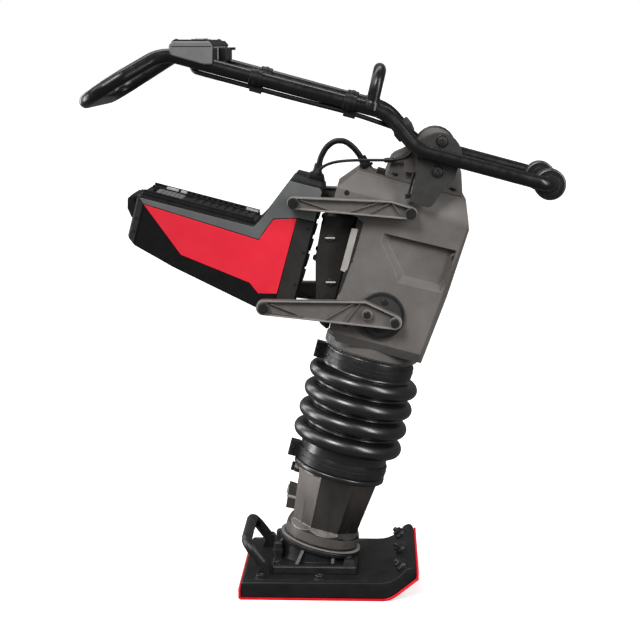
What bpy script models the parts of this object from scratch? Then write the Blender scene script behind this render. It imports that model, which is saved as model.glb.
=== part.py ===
"""Battery powered jumping jack rammer, upright on its shoe. Metres, +X forward, +Z up.

The origin is the middle of the flat part of the sole's underside. Most of the machine is built around
the leg, which leans forward. Its pieces are described in the leg's own frame: x forward across the leg,
y to the operator's left, z up along the leg, with z = 0 where the leg's axis meets the ground.
"""

import math

import bmesh
import bpy
from mathutils import Matrix, Vector

# Driving dimensions, in metres.
TILT = math.radians(14.46)
LEG_FOOT_X = -0.0074
GAP = 0.0003

SHOE_HALF_WIDTH = 0.139
SHOE_TOP = 0.035
SOLE_THICKNESS = 0.004

RING_RADIUS = 0.0905
RING_TUBE = 0.014
RING_PITCH = 0.039
FIRST_RING = 0.2863
RING_COUNT = 4
CUFF_RADIUS = 0.0832
NECK_RADIUS = 0.079

CASE_HALF_WIDTH = 0.100
COVER_SEAM = -0.082
CRANK_HEIGHT = 0.645
CRANK_THROW = 0.025
GEAR_MODULE = 0.0036
GEAR_TEETH = 40
PINION_TEETH = 10
GEAR_SPACING = GEAR_MODULE * (GEAR_TEETH + PINION_TEETH) / 2

PACK_HALF_WIDTH = 0.090
LINK_INNER = 0.1083
LINK_OUTER = 0.1300
UPPER_FRONT = (0.0007, 0.7396)
UPPER_REAR = (-0.2071, 0.7046)
LOWER_FRONT = (-0.0026, 0.5446)
LOWER_REAR = (-0.2122, 0.5080)

TUBE_RADIUS = 0.0125
HANDLE_PIVOT = (0.0200, 0.8530)
ROLLER_AXIS = (0.4250, 0.7665)
ROLLER_RADIUS = 0.028
ROLLER_CENTRE = 0.096
LEVER_HINGE = (-0.1780, 0.1055, 1.0040)

COLOURS = {
    "black_plastic": ((0.012, 0.012, 0.013), 0.45, 0.0),
    "black_steel": ((0.015, 0.015, 0.016), 0.35, 0.6),
    "tube_black": ((0.018, 0.018, 0.019), 0.30, 0.2),
    "rubber": ((0.010, 0.010, 0.010), 0.35, 0.0),
    "cast_bronze": ((0.135, 0.122, 0.114), 0.50, 0.6),
    "dark_cast": ((0.050, 0.047, 0.044), 0.50, 0.5),
    "sole_red": ((0.55, 0.005, 0.020), 0.45, 0.0),
    "panel_red": ((0.68, 0.020, 0.040), 0.40, 0.0),
    "grey_plastic": ((0.150, 0.150, 0.150), 0.50, 0.0),
    "steel": ((0.45, 0.45, 0.45), 0.30, 1.0),
    "copper": ((0.60, 0.25, 0.10), 0.40, 1.0),
}


# ---------------------------------------------------------------- scene, materials and frames


def clear_scene():
    for obj in list(bpy.data.objects):
        bpy.data.objects.remove(obj, do_unlink=True)


def new_collection(name):
    collection = bpy.data.collections.new(name)
    bpy.context.scene.collection.children.link(collection)
    return collection


def material(name):
    found = bpy.data.materials.get(name)
    if found:
        return found
    colour, roughness, metallic = COLOURS[name]
    made = bpy.data.materials.new(name)
    made.use_nodes = True
    shader = made.node_tree.nodes["Principled BSDF"]
    shader.inputs["Base Color"].default_value = (*colour, 1)
    shader.inputs["Roughness"].default_value = roughness
    shader.inputs["Metallic"].default_value = metallic
    return made


def empty(name, location=(0, 0, 0), rotation=(0, 0, 0), parent=None):
    made = bpy.data.objects.new(name, None)
    made.location = location
    made.rotation_euler = rotation
    made.parent = parent
    PARTS.objects.link(made)
    return made


def mm(*points):
    """Points given in millimetres, as tuples in metres."""
    return [tuple(value / 1000 for value in point) for point in points]


def leg_to_world(x, z):
    """A point (x, z) of the leg's frame as world (x, z)."""
    return (
        LEG_FOOT_X + x * math.cos(TILT) + z * math.sin(TILT),
        z * math.cos(TILT) - x * math.sin(TILT),
    )


def arc(centre, radius, start, end, steps):
    """Points on an arc about centre, from the start angle to the end angle in degrees."""
    return [
        (
            centre[0] + radius * math.cos(math.radians(start + (end - start) * i / steps)),
            centre[1] + radius * math.sin(math.radians(start + (end - start) * i / steps)),
        )
        for i in range(steps + 1)
    ]


def hull(points):
    """The convex outline round the points, anticlockwise."""
    ordered = sorted(set(points))
    halves = []
    for run in (ordered, ordered[::-1]):
        half = []
        for p in run:
            while len(half) > 1 and cross(half[-2], half[-1], p) <= 0:
                half.pop()
            half.append(p)
        halves.append(half[:-1])
    return halves[0] + halves[1]


def cross(a, b, c):
    return (b[0] - a[0]) * (c[1] - a[1]) - (b[1] - a[1]) * (c[0] - a[0])


# ---------------------------------------------------------------- shapes


def place(obj, name, finish, parent, origin, rotation=(0, 0, 0)):
    """Names the object, gives it its material and puts it in the parts collection."""
    obj.name = name
    obj.data.name = name
    obj.location = origin
    obj.rotation_euler = rotation
    obj.parent = parent
    if finish is None:
        CUTTERS.objects.link(obj)
        obj.hide_render = True
        obj.display_type = "WIRE"
    else:
        PARTS.objects.link(obj)
        obj.data.materials.append(material(finish))
    return obj


def shade(mesh, angle=35):
    mesh.shade_smooth()
    mesh.set_sharp_from_angle(angle=math.radians(angle))


def from_bmesh(bm, name):
    mesh = bpy.data.meshes.new(name)
    bmesh.ops.recalc_face_normals(bm, faces=bm.faces)
    bm.to_mesh(mesh)
    bm.free()
    return bpy.data.objects.new(name, mesh)


def box(name, low, high, finish=None, parent=None, origin=(0, 0, 0), bevel=0.0):
    """A box between two corners, which are given in the parent's frame."""
    bm = bmesh.new()
    bmesh.ops.create_cube(bm, size=1)
    size = Vector(high) - Vector(low)
    middle = (Vector(high) + Vector(low)) / 2 - Vector(origin)
    bmesh.ops.scale(bm, vec=size, verts=bm.verts)
    bmesh.ops.translate(bm, vec=middle, verts=bm.verts)
    obj = place(from_bmesh(bm, name), name, finish, parent, origin)
    if bevel:
        round_edges(obj, bevel)
    return obj


def rod(name, start, end, radius, sides=24, finish=None, parent=None, origin=(0, 0, 0), tip=None):
    """A cylinder, or a cone if tip is given, between two points in the parent's frame."""
    axis = Vector(end) - Vector(start)
    bm = bmesh.new()
    bmesh.ops.create_cone(
        bm,
        cap_ends=True,
        segments=sides,
        radius1=radius,
        radius2=radius if tip is None else tip,
        depth=axis.length,
    )
    turn = Vector((0, 0, 1)).rotation_difference(axis).to_matrix().to_4x4()
    middle = (Vector(start) + Vector(end)) / 2 - Vector(origin)
    bmesh.ops.transform(bm, matrix=Matrix.Translation(middle) @ turn, verts=bm.verts)
    obj = from_bmesh(bm, name)
    shade(obj.data)
    return place(obj, name, finish, parent, origin)


def slab(name, outline, low_y, high_y, finish=None, parent=None, origin=(0, 0, 0), bevel=0.0):
    """A flat outline of (x, z) points, as thick as from low_y to high_y."""
    curve = bpy.data.curves.new(name, "CURVE")
    curve.dimensions = "2D"
    curve.fill_mode = "BOTH"
    curve.extrude = (high_y - low_y) / 2
    spline = curve.splines.new("POLY")
    spline.points.add(len(outline) - 1)
    for point, (x, z) in zip(spline.points, outline):
        point.co = (x - origin[0], z - origin[2], 0, 1)
    spline.use_cyclic_u = True
    guide = bpy.data.objects.new(name, curve)
    mesh = mesh_of(guide)
    upright = Matrix.Rotation(math.pi / 2, 4, "X")
    mesh.transform(Matrix.Translation((0, (low_y + high_y) / 2 - origin[1], 0)) @ upright)
    obj = place(bpy.data.objects.new(name, mesh), name, finish, parent, origin)
    if bevel:
        round_edges(obj, bevel)
    return obj


def mesh_of(guide):
    """The mesh of a curve object, its caps welded. The curve is removed."""
    bpy.context.scene.collection.objects.link(guide)
    graph = bpy.context.evaluated_depsgraph_get()
    graph.update()
    mesh = bpy.data.meshes.new_from_object(guide.evaluated_get(graph))
    bpy.data.objects.remove(guide, do_unlink=True)
    bm = bmesh.new()
    bm.from_mesh(mesh)
    bmesh.ops.remove_doubles(bm, verts=bm.verts, dist=0.00001)
    bmesh.ops.recalc_face_normals(bm, faces=bm.faces)
    bm.to_mesh(mesh)
    bm.free()
    return mesh


def turned(name, profile, steps, finish=None, parent=None, origin=(0, 0, 0), axis="Z", ring=False):
    """A turned piece. Its profile of (radius, height) runs top to bottom down the outer side. A ring's
    profile closes on itself, and a solid piece's starts and ends on the axis."""
    mesh = bpy.data.meshes.new(name)
    count = len(profile)
    links = [(i, (i + 1) % count) for i in range(count if ring else count - 1)]
    mesh.from_pydata([(r, 0, z) for r, z in profile], links, [])
    obj = bpy.data.objects.new(name, mesh)
    turn = (-math.pi / 2, 0, 0) if axis == "Y" else (0, 0, 0)
    place(obj, name, finish, parent, origin, turn)
    screw = obj.modifiers.new("turn", "SCREW")
    screw.steps = screw.render_steps = steps
    screw.use_merge_vertices = True
    screw.merge_threshold = 0.00001
    screw.use_smooth_shade = True
    return obj


def wire(name, points, radius, finish, parent=None, origin=(0, 0, 0), sides=8, closed=False):
    """A round tube along the points."""
    curve = bpy.data.curves.new(name, "CURVE")
    curve.dimensions = "3D"
    curve.bevel_depth = radius
    curve.bevel_resolution = sides // 2 - 2
    curve.use_fill_caps = not closed
    spline = curve.splines.new("POLY")
    spline.points.add(len(points) - 1)
    for point, at in zip(spline.points, points):
        point.co = (*(Vector(at) - Vector(origin)), 1)
    spline.use_cyclic_u = closed
    mesh = mesh_of(bpy.data.objects.new(name, curve))
    mesh.shade_smooth()
    return place(bpy.data.objects.new(name, mesh), name, finish, parent, origin)


def bent(corners, closed=False, steps=6):
    """The centreline of a bent tube: corners are (point, bend radius), and each bend becomes an arc."""
    count = len(corners)
    path = []
    for i, (corner, radius) in enumerate(corners):
        corner = Vector(corner)
        if not closed and i in (0, count - 1) or not radius:
            path.append(tuple(corner))
            continue
        back = (Vector(corners[i - 1][0]) - corner).normalized()
        ahead = (Vector(corners[(i + 1) % count][0]) - corner).normalized()
        half = back.angle(ahead) / 2
        centre = corner + (back + ahead).normalized() * radius / math.sin(half)
        first = corner + back * radius / math.tan(half) - centre
        last = corner + ahead * radius / math.tan(half) - centre
        whole = first.angle(last)
        for k in range(steps + 1):
            share = k / steps
            blend = first * math.sin((1 - share) * whole) + last * math.sin(share * whole)
            path.append(tuple(centre + blend / math.sin(whole)))
    return path


def smooth_route(points, spacing):
    """Evenly spaced points on a smooth curve through the route's own points."""
    ends = [2 * Vector(points[0]) - Vector(points[1])]
    ends += [Vector(p) for p in points]
    ends += [2 * Vector(points[-1]) - Vector(points[-2])]
    fine = []
    for before, here, there, after in zip(ends, ends[1:], ends[2:], ends[3:]):
        for k in range(20):
            t = k / 20
            fine.append(
                0.5 * (2 * here + (there - before) * t
                       + (2 * before - 5 * here + 4 * there - after) * t * t
                       + (3 * here - before - 3 * there + after) * t ** 3)
            )
    fine.append(ends[-2])
    total = sum((b - a).length for a, b in zip(fine, fine[1:]))
    count = max(2, round(total / spacing))
    route, done, wanted = [fine[0]], 0.0, total / count
    for a, b in zip(fine, fine[1:]):
        done += (b - a).length
        if done >= wanted * len(route) - 1e-9 and len(route) < count:
            route.append(b)
    return [tuple(p) for p in route + [fine[-1]]]


def round_edges(obj, width, segments=1, angle=35):
    bevel = obj.modifiers.new("round", "BEVEL")
    bevel.width = width
    bevel.segments = segments
    bevel.limit_method = "ANGLE"
    bevel.angle_limit = math.radians(angle)
    bevel.use_clamp_overlap = True


def combine(obj, other, operation="DIFFERENCE"):
    """Cuts or joins another solid, which is then a hidden helper."""
    if other.name not in CUTTERS.objects:
        for collection in list(other.users_collection):
            collection.objects.unlink(other)
        CUTTERS.objects.link(other)
        other.hide_render = True
        other.display_type = "WIRE"
    boolean = obj.modifiers.new(operation.lower(), "BOOLEAN")
    boolean.operation = operation
    boolean.object = other
    return obj


def trim(obj, point, normal):
    """Removes what lies beyond a plane, given in the mesh's own frame, and closes the cut."""
    bm = bmesh.new()
    bm.from_mesh(obj.data)
    cut = bmesh.ops.bisect_plane(
        bm,
        geom=bm.verts[:] + bm.edges[:] + bm.faces[:],
        plane_co=point,
        plane_no=normal,
        clear_outer=True,
    )
    edges = [e for e in cut["geom_cut"] if isinstance(e, bmesh.types.BMEdge)]
    bmesh.ops.holes_fill(bm, edges=edges)
    bmesh.ops.recalc_face_normals(bm, faces=bm.faces)
    bm.to_mesh(obj.data)
    bm.free()


# ---------------------------------------------------------------- shoe and foot


def build_shoe():
    sole_outline = mm(
        (-135, 22), (-135, 3), (-132, 0), (134, 0), (146, 2.5), (157, 9), (198, 42), (198, 58),
        (194, 58), (194, 44.5), (155, 13), (144.5, 6.7), (133, 4), (-131, 4), (-131, 22),
    )
    slab("sole_plate", sole_outline, -SHOE_HALF_WIDTH - 0.001, SHOE_HALF_WIDTH + 0.001, "sole_red")
    inner_curve = arc((0.124, 0.095), 0.060, -90, -33, 6)
    shoe_outline = mm((-130.7, 4.3), (132.9, 4.3), (144.3, 7), (154.8, 13.3), (193.7, 44.7),
                      (193.7, 57), (190, 64), (184, 67)) + inner_curve[::-1] + mm(
                      (-126, 35), (-130.7, 30))
    slab("shoe", shoe_outline, -SHOE_HALF_WIDTH, SHOE_HALF_WIDTH, "black_plastic", bevel=0.002)
    for number, y in enumerate((-0.100, 0.0, 0.100), 1):
        slope = math.radians(-42)
        inward = Vector((-math.cos(slope), 0, -math.sin(slope)))
        seat = Vector((0.124, y, 0.095)) - inward * 0.060
        bolt = rod(f"front_bolt_{number}", seat + inward * 0.0020, seat + inward * 0.0140, 0.0110, 16,
                   "black_steel")
        head = rod(f"front_bolt_head_{number}", seat + inward * 0.0130, seat + inward * 0.0230, 0.0095, 6)
        combine(bolt, head, "UNION")
    for number, (x, side) in enumerate(((-0.095, -1), (-0.095, 1), (0.015, -1), (0.015, 1)), 1):
        y = side * 0.119
        rod(f"edge_bolt_{number}", (x, y, SHOE_TOP + GAP), (x, y, SHOE_TOP + 0.009), 0.0095, 6,
            "black_steel")


def build_shoe_handle():
    """The grab handle behind the foot: a bent bar whose arms end in blocks on the shoe."""
    top, low = (-0.1243, 0.0940), (-0.0890, 0.0480)
    path = [((low[0], -0.086, low[1]), 0), ((top[0], -0.086, top[1]), 0.024),
            ((top[0], 0.086, top[1]), 0.024), ((low[0], 0.086, low[1]), 0)]
    handle = wire("shoe_handle", bent(path), 0.0103, "black_plastic", sides=12)
    block = mm((-104, 35.3), (-79.5, 35.3), (-79.5, 56), (-86, 60), (-98, 52))
    for side, name in ((-1, "right"), (1, "left")):
        low_y, high_y = sorted((side * 0.0745, side * 0.0975))
        combine(handle, slab(f"shoe_handle_block_{name}", block, low_y, high_y), "UNION")


def build_foot_casting(leg):
    """The cast foot: a base plate with a skirt and ribs, which carries the leaning leg."""
    foot = box("foot_casting", (-0.076, -0.092, SHOE_TOP - 0.008), (0.084, 0.092, 0.0505),
               "black_plastic", bevel=0.003)
    skirt = turned("foot_skirt", mm((0, 79.6), (75, 79.6), (78, 77), (78, 71), (73, 68), (71, 20),
                                    (0, 20)), 32, parent=leg)
    combine(foot, skirt, "UNION")
    for number in range(8):
        turn = Matrix.Rotation(math.radians(22.5 + 45 * number), 4, "Z")
        rib = slab(f"foot_rib_{number}", mm((50, 20), (92, 20), (92, 40), (75, 73), (50, 73)), -0.0035,
                   0.0035, parent=leg)
        rib.data.transform(turn)
        combine(foot, rib, "UNION")
    combine(foot, box("foot_underside", (-0.2, -0.2, -0.1), (0.2, 0.2, SHOE_TOP + GAP)))
    for name, low, high in (("rear", -0.3, -0.0765), ("front", 0.0845, 0.3)):
        combine(foot, box(f"foot_{name}_face", (low, -0.2, 0.0), (high, 0.2, 0.0700)))


def build_leg(leg):
    """The leg: eight flats that widen upwards, on a round base whose top they cut into."""
    flat_to_corner = 1 / math.cos(math.pi / 8)
    tube = rod("leg_tube", (0, 0, 0.108), (0, 0, 0.2167), 0.0615 * flat_to_corner, 8, "cast_bronze",
               leg, tip=0.0745 * flat_to_corner)
    tube.data.transform(Matrix.Translation((0, 0, 0.16235)) @ Matrix.Rotation(math.pi / 8, 4, "Z")
                        @ Matrix.Translation((0, 0, -0.16235)))
    base = rod("leg_base", (0, 0, 0.080), (0, 0, 0.125), 0.0705, 40, parent=leg)
    for number in range(8):
        angle = math.tau * number / 8
        out = Vector((math.cos(angle), math.sin(angle), 0))
        trim(base, out * 0.0620 + Vector((0, 0, 0.114)), out * 0.011 + Vector((0, 0, 0.0085)))
    combine(tube, base, "UNION")
    combine(tube, turned("leg_top", mm((0, 335), (58, 335), (58, 262), (79, 262), (79, 212), (0, 212)), 32,
                         parent=leg), "UNION")
    block = mm((-55, 126), (-80, 125), (-84.5, 171), (-55, 169))
    combine(tube, slab("leg_block", block, -0.013, 0.013, parent=leg), "UNION")
    for tag, reach, radius in (("boss", 0.083, 0.0105), ("head", 0.0895, 0.0075)):
        plug = rod(f"leg_plug_{tag}", (-0.060, 0, 0.2045), (-reach, 0, 0.2045), radius, 8, parent=leg)
        combine(tube, plug, "UNION")
    bore = turned(
        "leg_bore",
        mm((0, 345), (50, 345), (50, 270), (20, 270), (20, 262), (50, 262), (50, 92), (0, 92)),
        24,
        parent=leg,
    )
    combine(tube, bore)


def build_bellows(leg):
    """The rubber bellows, a ring for each fold, with a cuff at each end."""
    top = FIRST_RING + RING_PITCH * (RING_COUNT - 1)
    wall = 0.0035
    outer = [(CUFF_RADIUS, 0.452), (CUFF_RADIUS, top + RING_TUBE + 0.003)]
    inner = [(NECK_RADIUS + GAP, 0.2172), (NECK_RADIUS + GAP, FIRST_RING - RING_TUBE - 0.001)]
    for ring in range(RING_COUNT):
        height = top - RING_PITCH * ring
        outer += arc((RING_RADIUS, height), RING_TUBE, 90, -90, 5)
        if ring < RING_COUNT - 1:
            outer.append((RING_RADIUS - 0.008, height - RING_PITCH / 2))
    for ring in range(RING_COUNT):
        height = FIRST_RING + RING_PITCH * ring
        inner.append((RING_RADIUS, height))
        if ring < RING_COUNT - 1:
            inner.append((RING_RADIUS - 0.008 - wall, height + RING_PITCH / 2))
    inner += [(NECK_RADIUS + GAP, top + RING_TUBE + 0.001), (NECK_RADIUS + GAP, 0.452)]
    outer += [(CUFF_RADIUS, FIRST_RING - RING_TUBE - 0.003), (CUFF_RADIUS, 0.2265), (0.0865, 0.2250),
              (0.0865, 0.2190), (0.0850, 0.2172)]
    turned("bellows", outer + inner, 32, "rubber", leg, ring=True)


def build_clamp(leg, name, low, high):
    """A clamp band round a bellows cuff, with its screw housing at the rear."""
    inside = CUFF_RADIUS + GAP
    outside = inside + 0.0025
    band = turned(name, [(outside, high), (outside, low), (inside, low), (inside, high)], 32,
                  "black_steel", leg, ring=True)
    screw = box(f"{name}_screw", (-outside - 0.0165, -0.013, low - 0.002),
                (-outside + 0.0014, 0.013, high + 0.003), parent=leg)
    combine(band, screw, "UNION")


# ---------------------------------------------------------------- ramming mechanism


def build_plunger(leg):
    """Connecting rod, and the piston rod with its piston between the ramming springs."""
    pin = (0, CRANK_HEIGHT - CRANK_THROW)
    wrist = (0, 0.520)
    outline = hull(arc(pin, 0.018, 0, 360, 20) + arc(wrist, 0.011, 0, 360, 16))
    connecting = slab("connecting_rod", outline, -0.008, 0.008, "steel", leg)
    for tag, centre, radius in (("big_end", pin, 0.0102), ("small_end", wrist, 0.0063)):
        hole = rod(f"connecting_{tag}", (centre[0], -0.02, centre[1]), (centre[0], 0.02, centre[1]),
                   radius, 16, parent=leg)
        combine(connecting, hole)
    piston = turned("piston", mm((0, 506), (16, 506), (16, 166), (44, 166), (44, 152), (0, 152)), 24,
                    "steel", leg)
    for side in (-1, 1):
        ear = box(f"piston_ear_{side}", (-0.011, side * 0.0115 - 0.003, 0.495),
                  (0.011, side * 0.0115 + 0.003, 0.532), parent=leg)
        combine(piston, ear, "UNION")
    wrist_pin = rod("wrist_pin", (0, -0.0145, wrist[1]), (0, 0.0145, wrist[1]), 0.006, 16, parent=leg)
    combine(piston, wrist_pin, "UNION")


def build_spring(leg, name, low, high, turns):
    coil = 0.033
    thick = 0.0045
    count = turns * 10
    path = [
        (
            coil * math.cos(math.tau * i / 10),
            coil * math.sin(math.tau * i / 10),
            low + thick + (high - low - 2 * thick) * i / count,
        )
        for i in range(count + 1)
    ]
    wire(name, path, thick, "steel", leg)


def build_guide(leg):
    turned(
        "guide_cylinder",
        mm((69.5, 464), (69.5, 452), (48, 452), (48, 308), (24, 308), (24, 464)),
        28,
        "steel",
        leg,
        ring=True,
    )


def gear_outline(centre, teeth, phase):
    """The (x, z) outline of a spur gear with straight-sided teeth, thinned for backlash."""
    pitch = GEAR_MODULE * teeth / 2
    tip, root = pitch + 0.85 * GEAR_MODULE, pitch - 1.15 * GEAR_MODULE
    step = math.tau / teeth
    points = []
    for tooth in range(teeth):
        middle = phase + step * tooth
        for radius, share in ((root, -0.30), (tip, -0.11), (tip, 0.11), (root, 0.30)):
            angle = middle + step * share
            points.append((centre[0] + radius * math.cos(angle), centre[1] + radius * math.sin(angle)))
    return points


def build_drive(leg):
    """Motor, pinion, crank gear with its shaft and pin, and the crank's bearing."""
    crank = (0, CRANK_HEIGHT)
    motor = (-GEAR_SPACING, CRANK_HEIGHT)
    gear_at = (0, 0, CRANK_HEIGHT)
    gear = slab("crank_gear", gear_outline(crank, GEAR_TEETH, 0), 0.020, 0.036, "steel", leg, gear_at)
    shaft = rod("crank_shaft", (0, 0.030, CRANK_HEIGHT), (0, 0.082, CRANK_HEIGHT), 0.0097, 20, parent=leg)
    hub = rod("crank_hub", (0, 0.030, CRANK_HEIGHT), (0, 0.0455, CRANK_HEIGHT), 0.016, 20, parent=leg)
    pin_height = CRANK_HEIGHT - CRANK_THROW
    pin = rod("crank_pin", (0, 0.010, pin_height), (0, 0.028, pin_height), 0.009, 20, parent=leg)
    for piece in (shaft, hub, pin):
        combine(gear, piece, "UNION")
    turned("crank_bearing", mm((15, 15), (15, -15), (10, -15), (10, 15)), 20, "steel", leg,
           (0, 0.065, CRANK_HEIGHT), "Y", ring=True)
    at = (motor[0], 0, motor[1])
    rotor = slab("motor_rotor", gear_outline(motor, PINION_TEETH, math.pi / PINION_TEETH), 0.018, 0.038,
                 "steel", leg, at)
    core = rod("rotor_core", (at[0], -0.062, at[2]), (at[0], -0.022, at[2]), 0.026, 24, parent=leg)
    axle = rod("rotor_axle", (at[0], -0.068, at[2]), (at[0], 0.044, at[2]), 0.007, 16, parent=leg)
    for piece in (axle, core):
        combine(rotor, piece, "UNION")
    turned("motor_stator", mm((44, 24), (44, -24), (27, -24), (27, 24)), 28, "copper", leg,
           (at[0], -0.042, at[2]), "Y", ring=True)


# ---------------------------------------------------------------- crankcase


def case_outline():
    return mm(
        (91, 475), (104.6, 605), (110.7, 734), (91, 786), (-108, 786), (-139, 748), (-139, 712),
        (-88, 706), (-88, 500), (-70, 475),
    )


def chamfer_case(obj):
    """The long chamfers down the top, the front and the lower edges of both sides."""
    for side in (-1, 1):
        trim(obj, (0, side * 0.100, 0.750), Vector((0, side * 0.036, 0.020)).normalized())
        trim(obj, (0.0985, side * 0.100, 0.650), Vector((0.020, side * 0.012, -0.0018)).normalized())
        trim(obj, (0, side * 0.100, 0.492), Vector((0, side * 0.017, -0.012)).normalized())


def cut_pocket(obj, leg, side):
    """The sunk field in the side of the case. Its rear and lower walls slope gently, the others steeply."""
    field = mm((-48, 692), (-48, 672), (-2, 611), (4, 597), (91, 597), (98, 617), (101, 695))
    pocket = slab(f"{obj.name}_pocket", field, -0.014, 0.014, parent=leg, origin=(0.030, 0, 0.650))
    for vertex in pocket.data.vertices:
        if vertex.co.y * side < 0:
            vertex.co.x = vertex.co.x * 0.80 + 0.008
            vertex.co.z = vertex.co.z * 0.68 + 0.010
    pocket.location.y = side * CASE_HALF_WIDTH
    combine(obj, pocket)


def add_pivot_bolt(obj, leg, side):
    """The upper link's front pivot: shoulder, shank and head, standing out of the side of the case."""
    x, z = UPPER_FRONT
    for tag, start, end, radius in (
        ("shoulder", 0.090, 0.1075, 0.010), ("shank", 0.100, 0.1315, 0.006), ("head", 0.1305, 0.137, 0.0095)
    ):
        piece = rod(f"{obj.name}_pivot_{tag}", (x, side * start, z), (x, side * end, z), radius, 16,
                    parent=leg)
        combine(obj, piece, "UNION")
    x, z = LOWER_FRONT
    stub = rod(f"{obj.name}_rocker_stub", (x, side * 0.090, z), (x, side * 0.1072, z), 0.008, 16,
               parent=leg)
    combine(obj, stub, "UNION")


def build_crankcase(leg):
    seam = COVER_SEAM
    case = slab("crankcase", case_outline(), -CASE_HALF_WIDTH, CASE_HALF_WIDTH, "cast_bronze", leg)
    chamfer_case(case)
    cover = bpy.data.objects.new("crankcase_cover", case.data.copy())
    place(cover, "crankcase_cover", "cast_bronze", leg, (0, 0, 0))
    trim(case, (0, seam + GAP, 0), (0, -1, 0))
    trim(cover, (0, seam, 0), (0, 1, 0))
    cut_pocket(case, leg, 1)
    cut_pocket(cover, leg, -1)
    hollow = mm((82, 484), (95, 605), (101, 733), (84, 777), (-103, 777), (-130, 745), (-130, 721),
                (-79, 715), (-79, 505), (-64, 484))
    combine(case, slab("case_hollow", hollow, seam - 0.01, -seam, parent=leg))
    boss = rod("bearing_boss", (0, 0.048, CRANK_HEIGHT), (0, 0.085, CRANK_HEIGHT), 0.022, 24, parent=leg)
    combine(case, boss, "UNION")
    seat = rod("bearing_seat", (0, 0.040, CRANK_HEIGHT), (0, 0.0835, CRANK_HEIGHT), 0.0153, 24, parent=leg)
    combine(case, seat)
    window = box("motor_window", (-0.100, -0.070, 0.530), (-0.070, 0.070, 0.695), parent=leg)
    combine(case, window)
    neck = turned("case_neck", mm((0, 480), (87, 480), (87, 457), (79, 455), (79, 421), (0, 421)), 32,
                  parent=leg)
    combine(case, neck, "UNION")
    notch = rod("cover_notch", (0, 0, 0.440), (0, 0, 0.4803), 0.0873, 32, parent=leg)
    combine(cover, notch)
    bore = rod("neck_bore", (0, 0, 0.415), (0, 0, 0.490), 0.070, 28, parent=leg)
    combine(case, bore)
    gland = rod("motor_gland", (-0.086, 0, 0.780), (-0.100, 0, 0.794), 0.0115, 16, parent=leg, tip=0.0085)
    combine(case, gland, "UNION")
    add_pivot_bolt(case, leg, 1)
    add_pivot_bolt(cover, leg, -1)


def build_motor_housing(leg):
    outline = mm((-88.3, 705), (-146, 697), (-150, 678), (-145, 615), (-125, 537), (-110, 499),
                 (-88.3, 488))
    housing = slab("motor_housing", outline, -0.078, 0.078, "black_plastic", leg, bevel=0.005)
    hollow = mm((-70, 699), (-140, 691), (-144, 676), (-139, 616), (-119, 542), (-70, 520))
    combine(housing, slab("motor_hollow", hollow, -0.072, 0.072, parent=leg))


def build_handle_support(leg):
    """The casting on top of the crankcase, which ends in the drum that carries the handle."""
    web = mm((-61, 786.3), (-56, 824), (-31, 844), (20, 875), (56, 853), (72, 829), (86, 786.3))
    support = slab("handle_support", web, -0.062, 0.062, "cast_bronze", leg, bevel=0.004)
    x, z = HANDLE_PIVOT
    drum = rod("support_drum", (x, -0.085, z), (x, 0.085, z), 0.036, 32, parent=leg)
    combine(support, drum, "UNION")
    for side, name in ((-1, "right"), (1, "left")):
        profile = mm((0, 32.7), (37, 32.7), (37, 23), (34, 20), (34, 13), (37, 10), (37, 0), (0, 0))
        mount = turned(f"rubber_mount_{name}", profile, 28, "rubber", leg, (x, side * 0.0853, z), "Y")
        if side < 0:
            mount.rotation_euler = (math.pi / 2, 0, 0)


# ---------------------------------------------------------------- power pack and links


def pack_outline():
    return mm(
        (-484, 642), (-266, 643), (-256, 660), (-222, 741), (-166, 741), (-160, 734), (-160, 512),
        (-172, 497), (-222, 497), (-392, 532), (-469, 553), (-484, 565),
    )


def build_pack(leg):
    housing = slab("pack_housing", pack_outline(), -PACK_HALF_WIDTH, PACK_HALF_WIDTH, "black_plastic",
                   leg, bevel=0.003)
    bay = box("battery_bay", (-0.510, -0.079, 0.573), (-0.262, 0.079, 0.670), parent=leg)
    combine(housing, bay)
    hollow = mm((-168, 733), (-216, 733), (-248, 655), (-248, 567), (-440, 567), (-392, 541),
                (-222, 506), (-168, 506))
    combine(housing, slab("pack_hollow", hollow, -0.083, 0.083, parent=leg))
    socket = box("battery_socket", (-0.270, -0.040, 0.590), (-0.240, 0.040, 0.630), parent=leg)
    combine(housing, socket)
    for name, (x, z) in (("upper", UPPER_REAR), ("lower", LOWER_REAR)):
        hole = rod(f"{name}_shaft_hole", (x, -0.1, z), (x, 0.1, z), 0.0063, 16, parent=leg)
        combine(housing, hole)
        build_pack_shaft(leg, f"{name}_shaft", x, z)
    panel = mm((-469, 630), (-252, 620), (-235, 663), (-195, 675), (-196, 533), (-229, 525),
               (-249, 540), (-382, 558))
    for side, name in ((-1, "right"), (1, "left")):
        low, high = sorted((side * (PACK_HALF_WIDTH + GAP), side * (PACK_HALF_WIDTH + 0.0028)))
        slab(f"side_panel_{name}", panel, low, high, "panel_red", leg)
    box("motor_controller", (-0.228, -0.055, 0.520), (-0.178, 0.055, 0.690), "grey_plastic", leg,
        bevel=0.003)
    box("cable_gland", (-0.195, -0.034, 0.7413), (-0.167, 0.017, 0.7565), "black_plastic", leg,
        bevel=0.003)


def build_pack_shaft(leg, name, x, z):
    """The cross shaft that the links hang on: shoulders outside the pack and a head at each end."""
    right = [(0, -0.137), (0.0095, -0.137), (0.0095, -0.1305), (0.006, -0.1305), (0.006, -0.1075),
             (0.010, -0.1075), (0.010, -0.0933), (0.006, -0.0933)]
    profile = right + [(r, -y) for r, y in reversed(right)]
    turned(name, [(r, -y) for r, y in profile], 20, "black_steel", leg, (x, 0, z), "Y")


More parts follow.
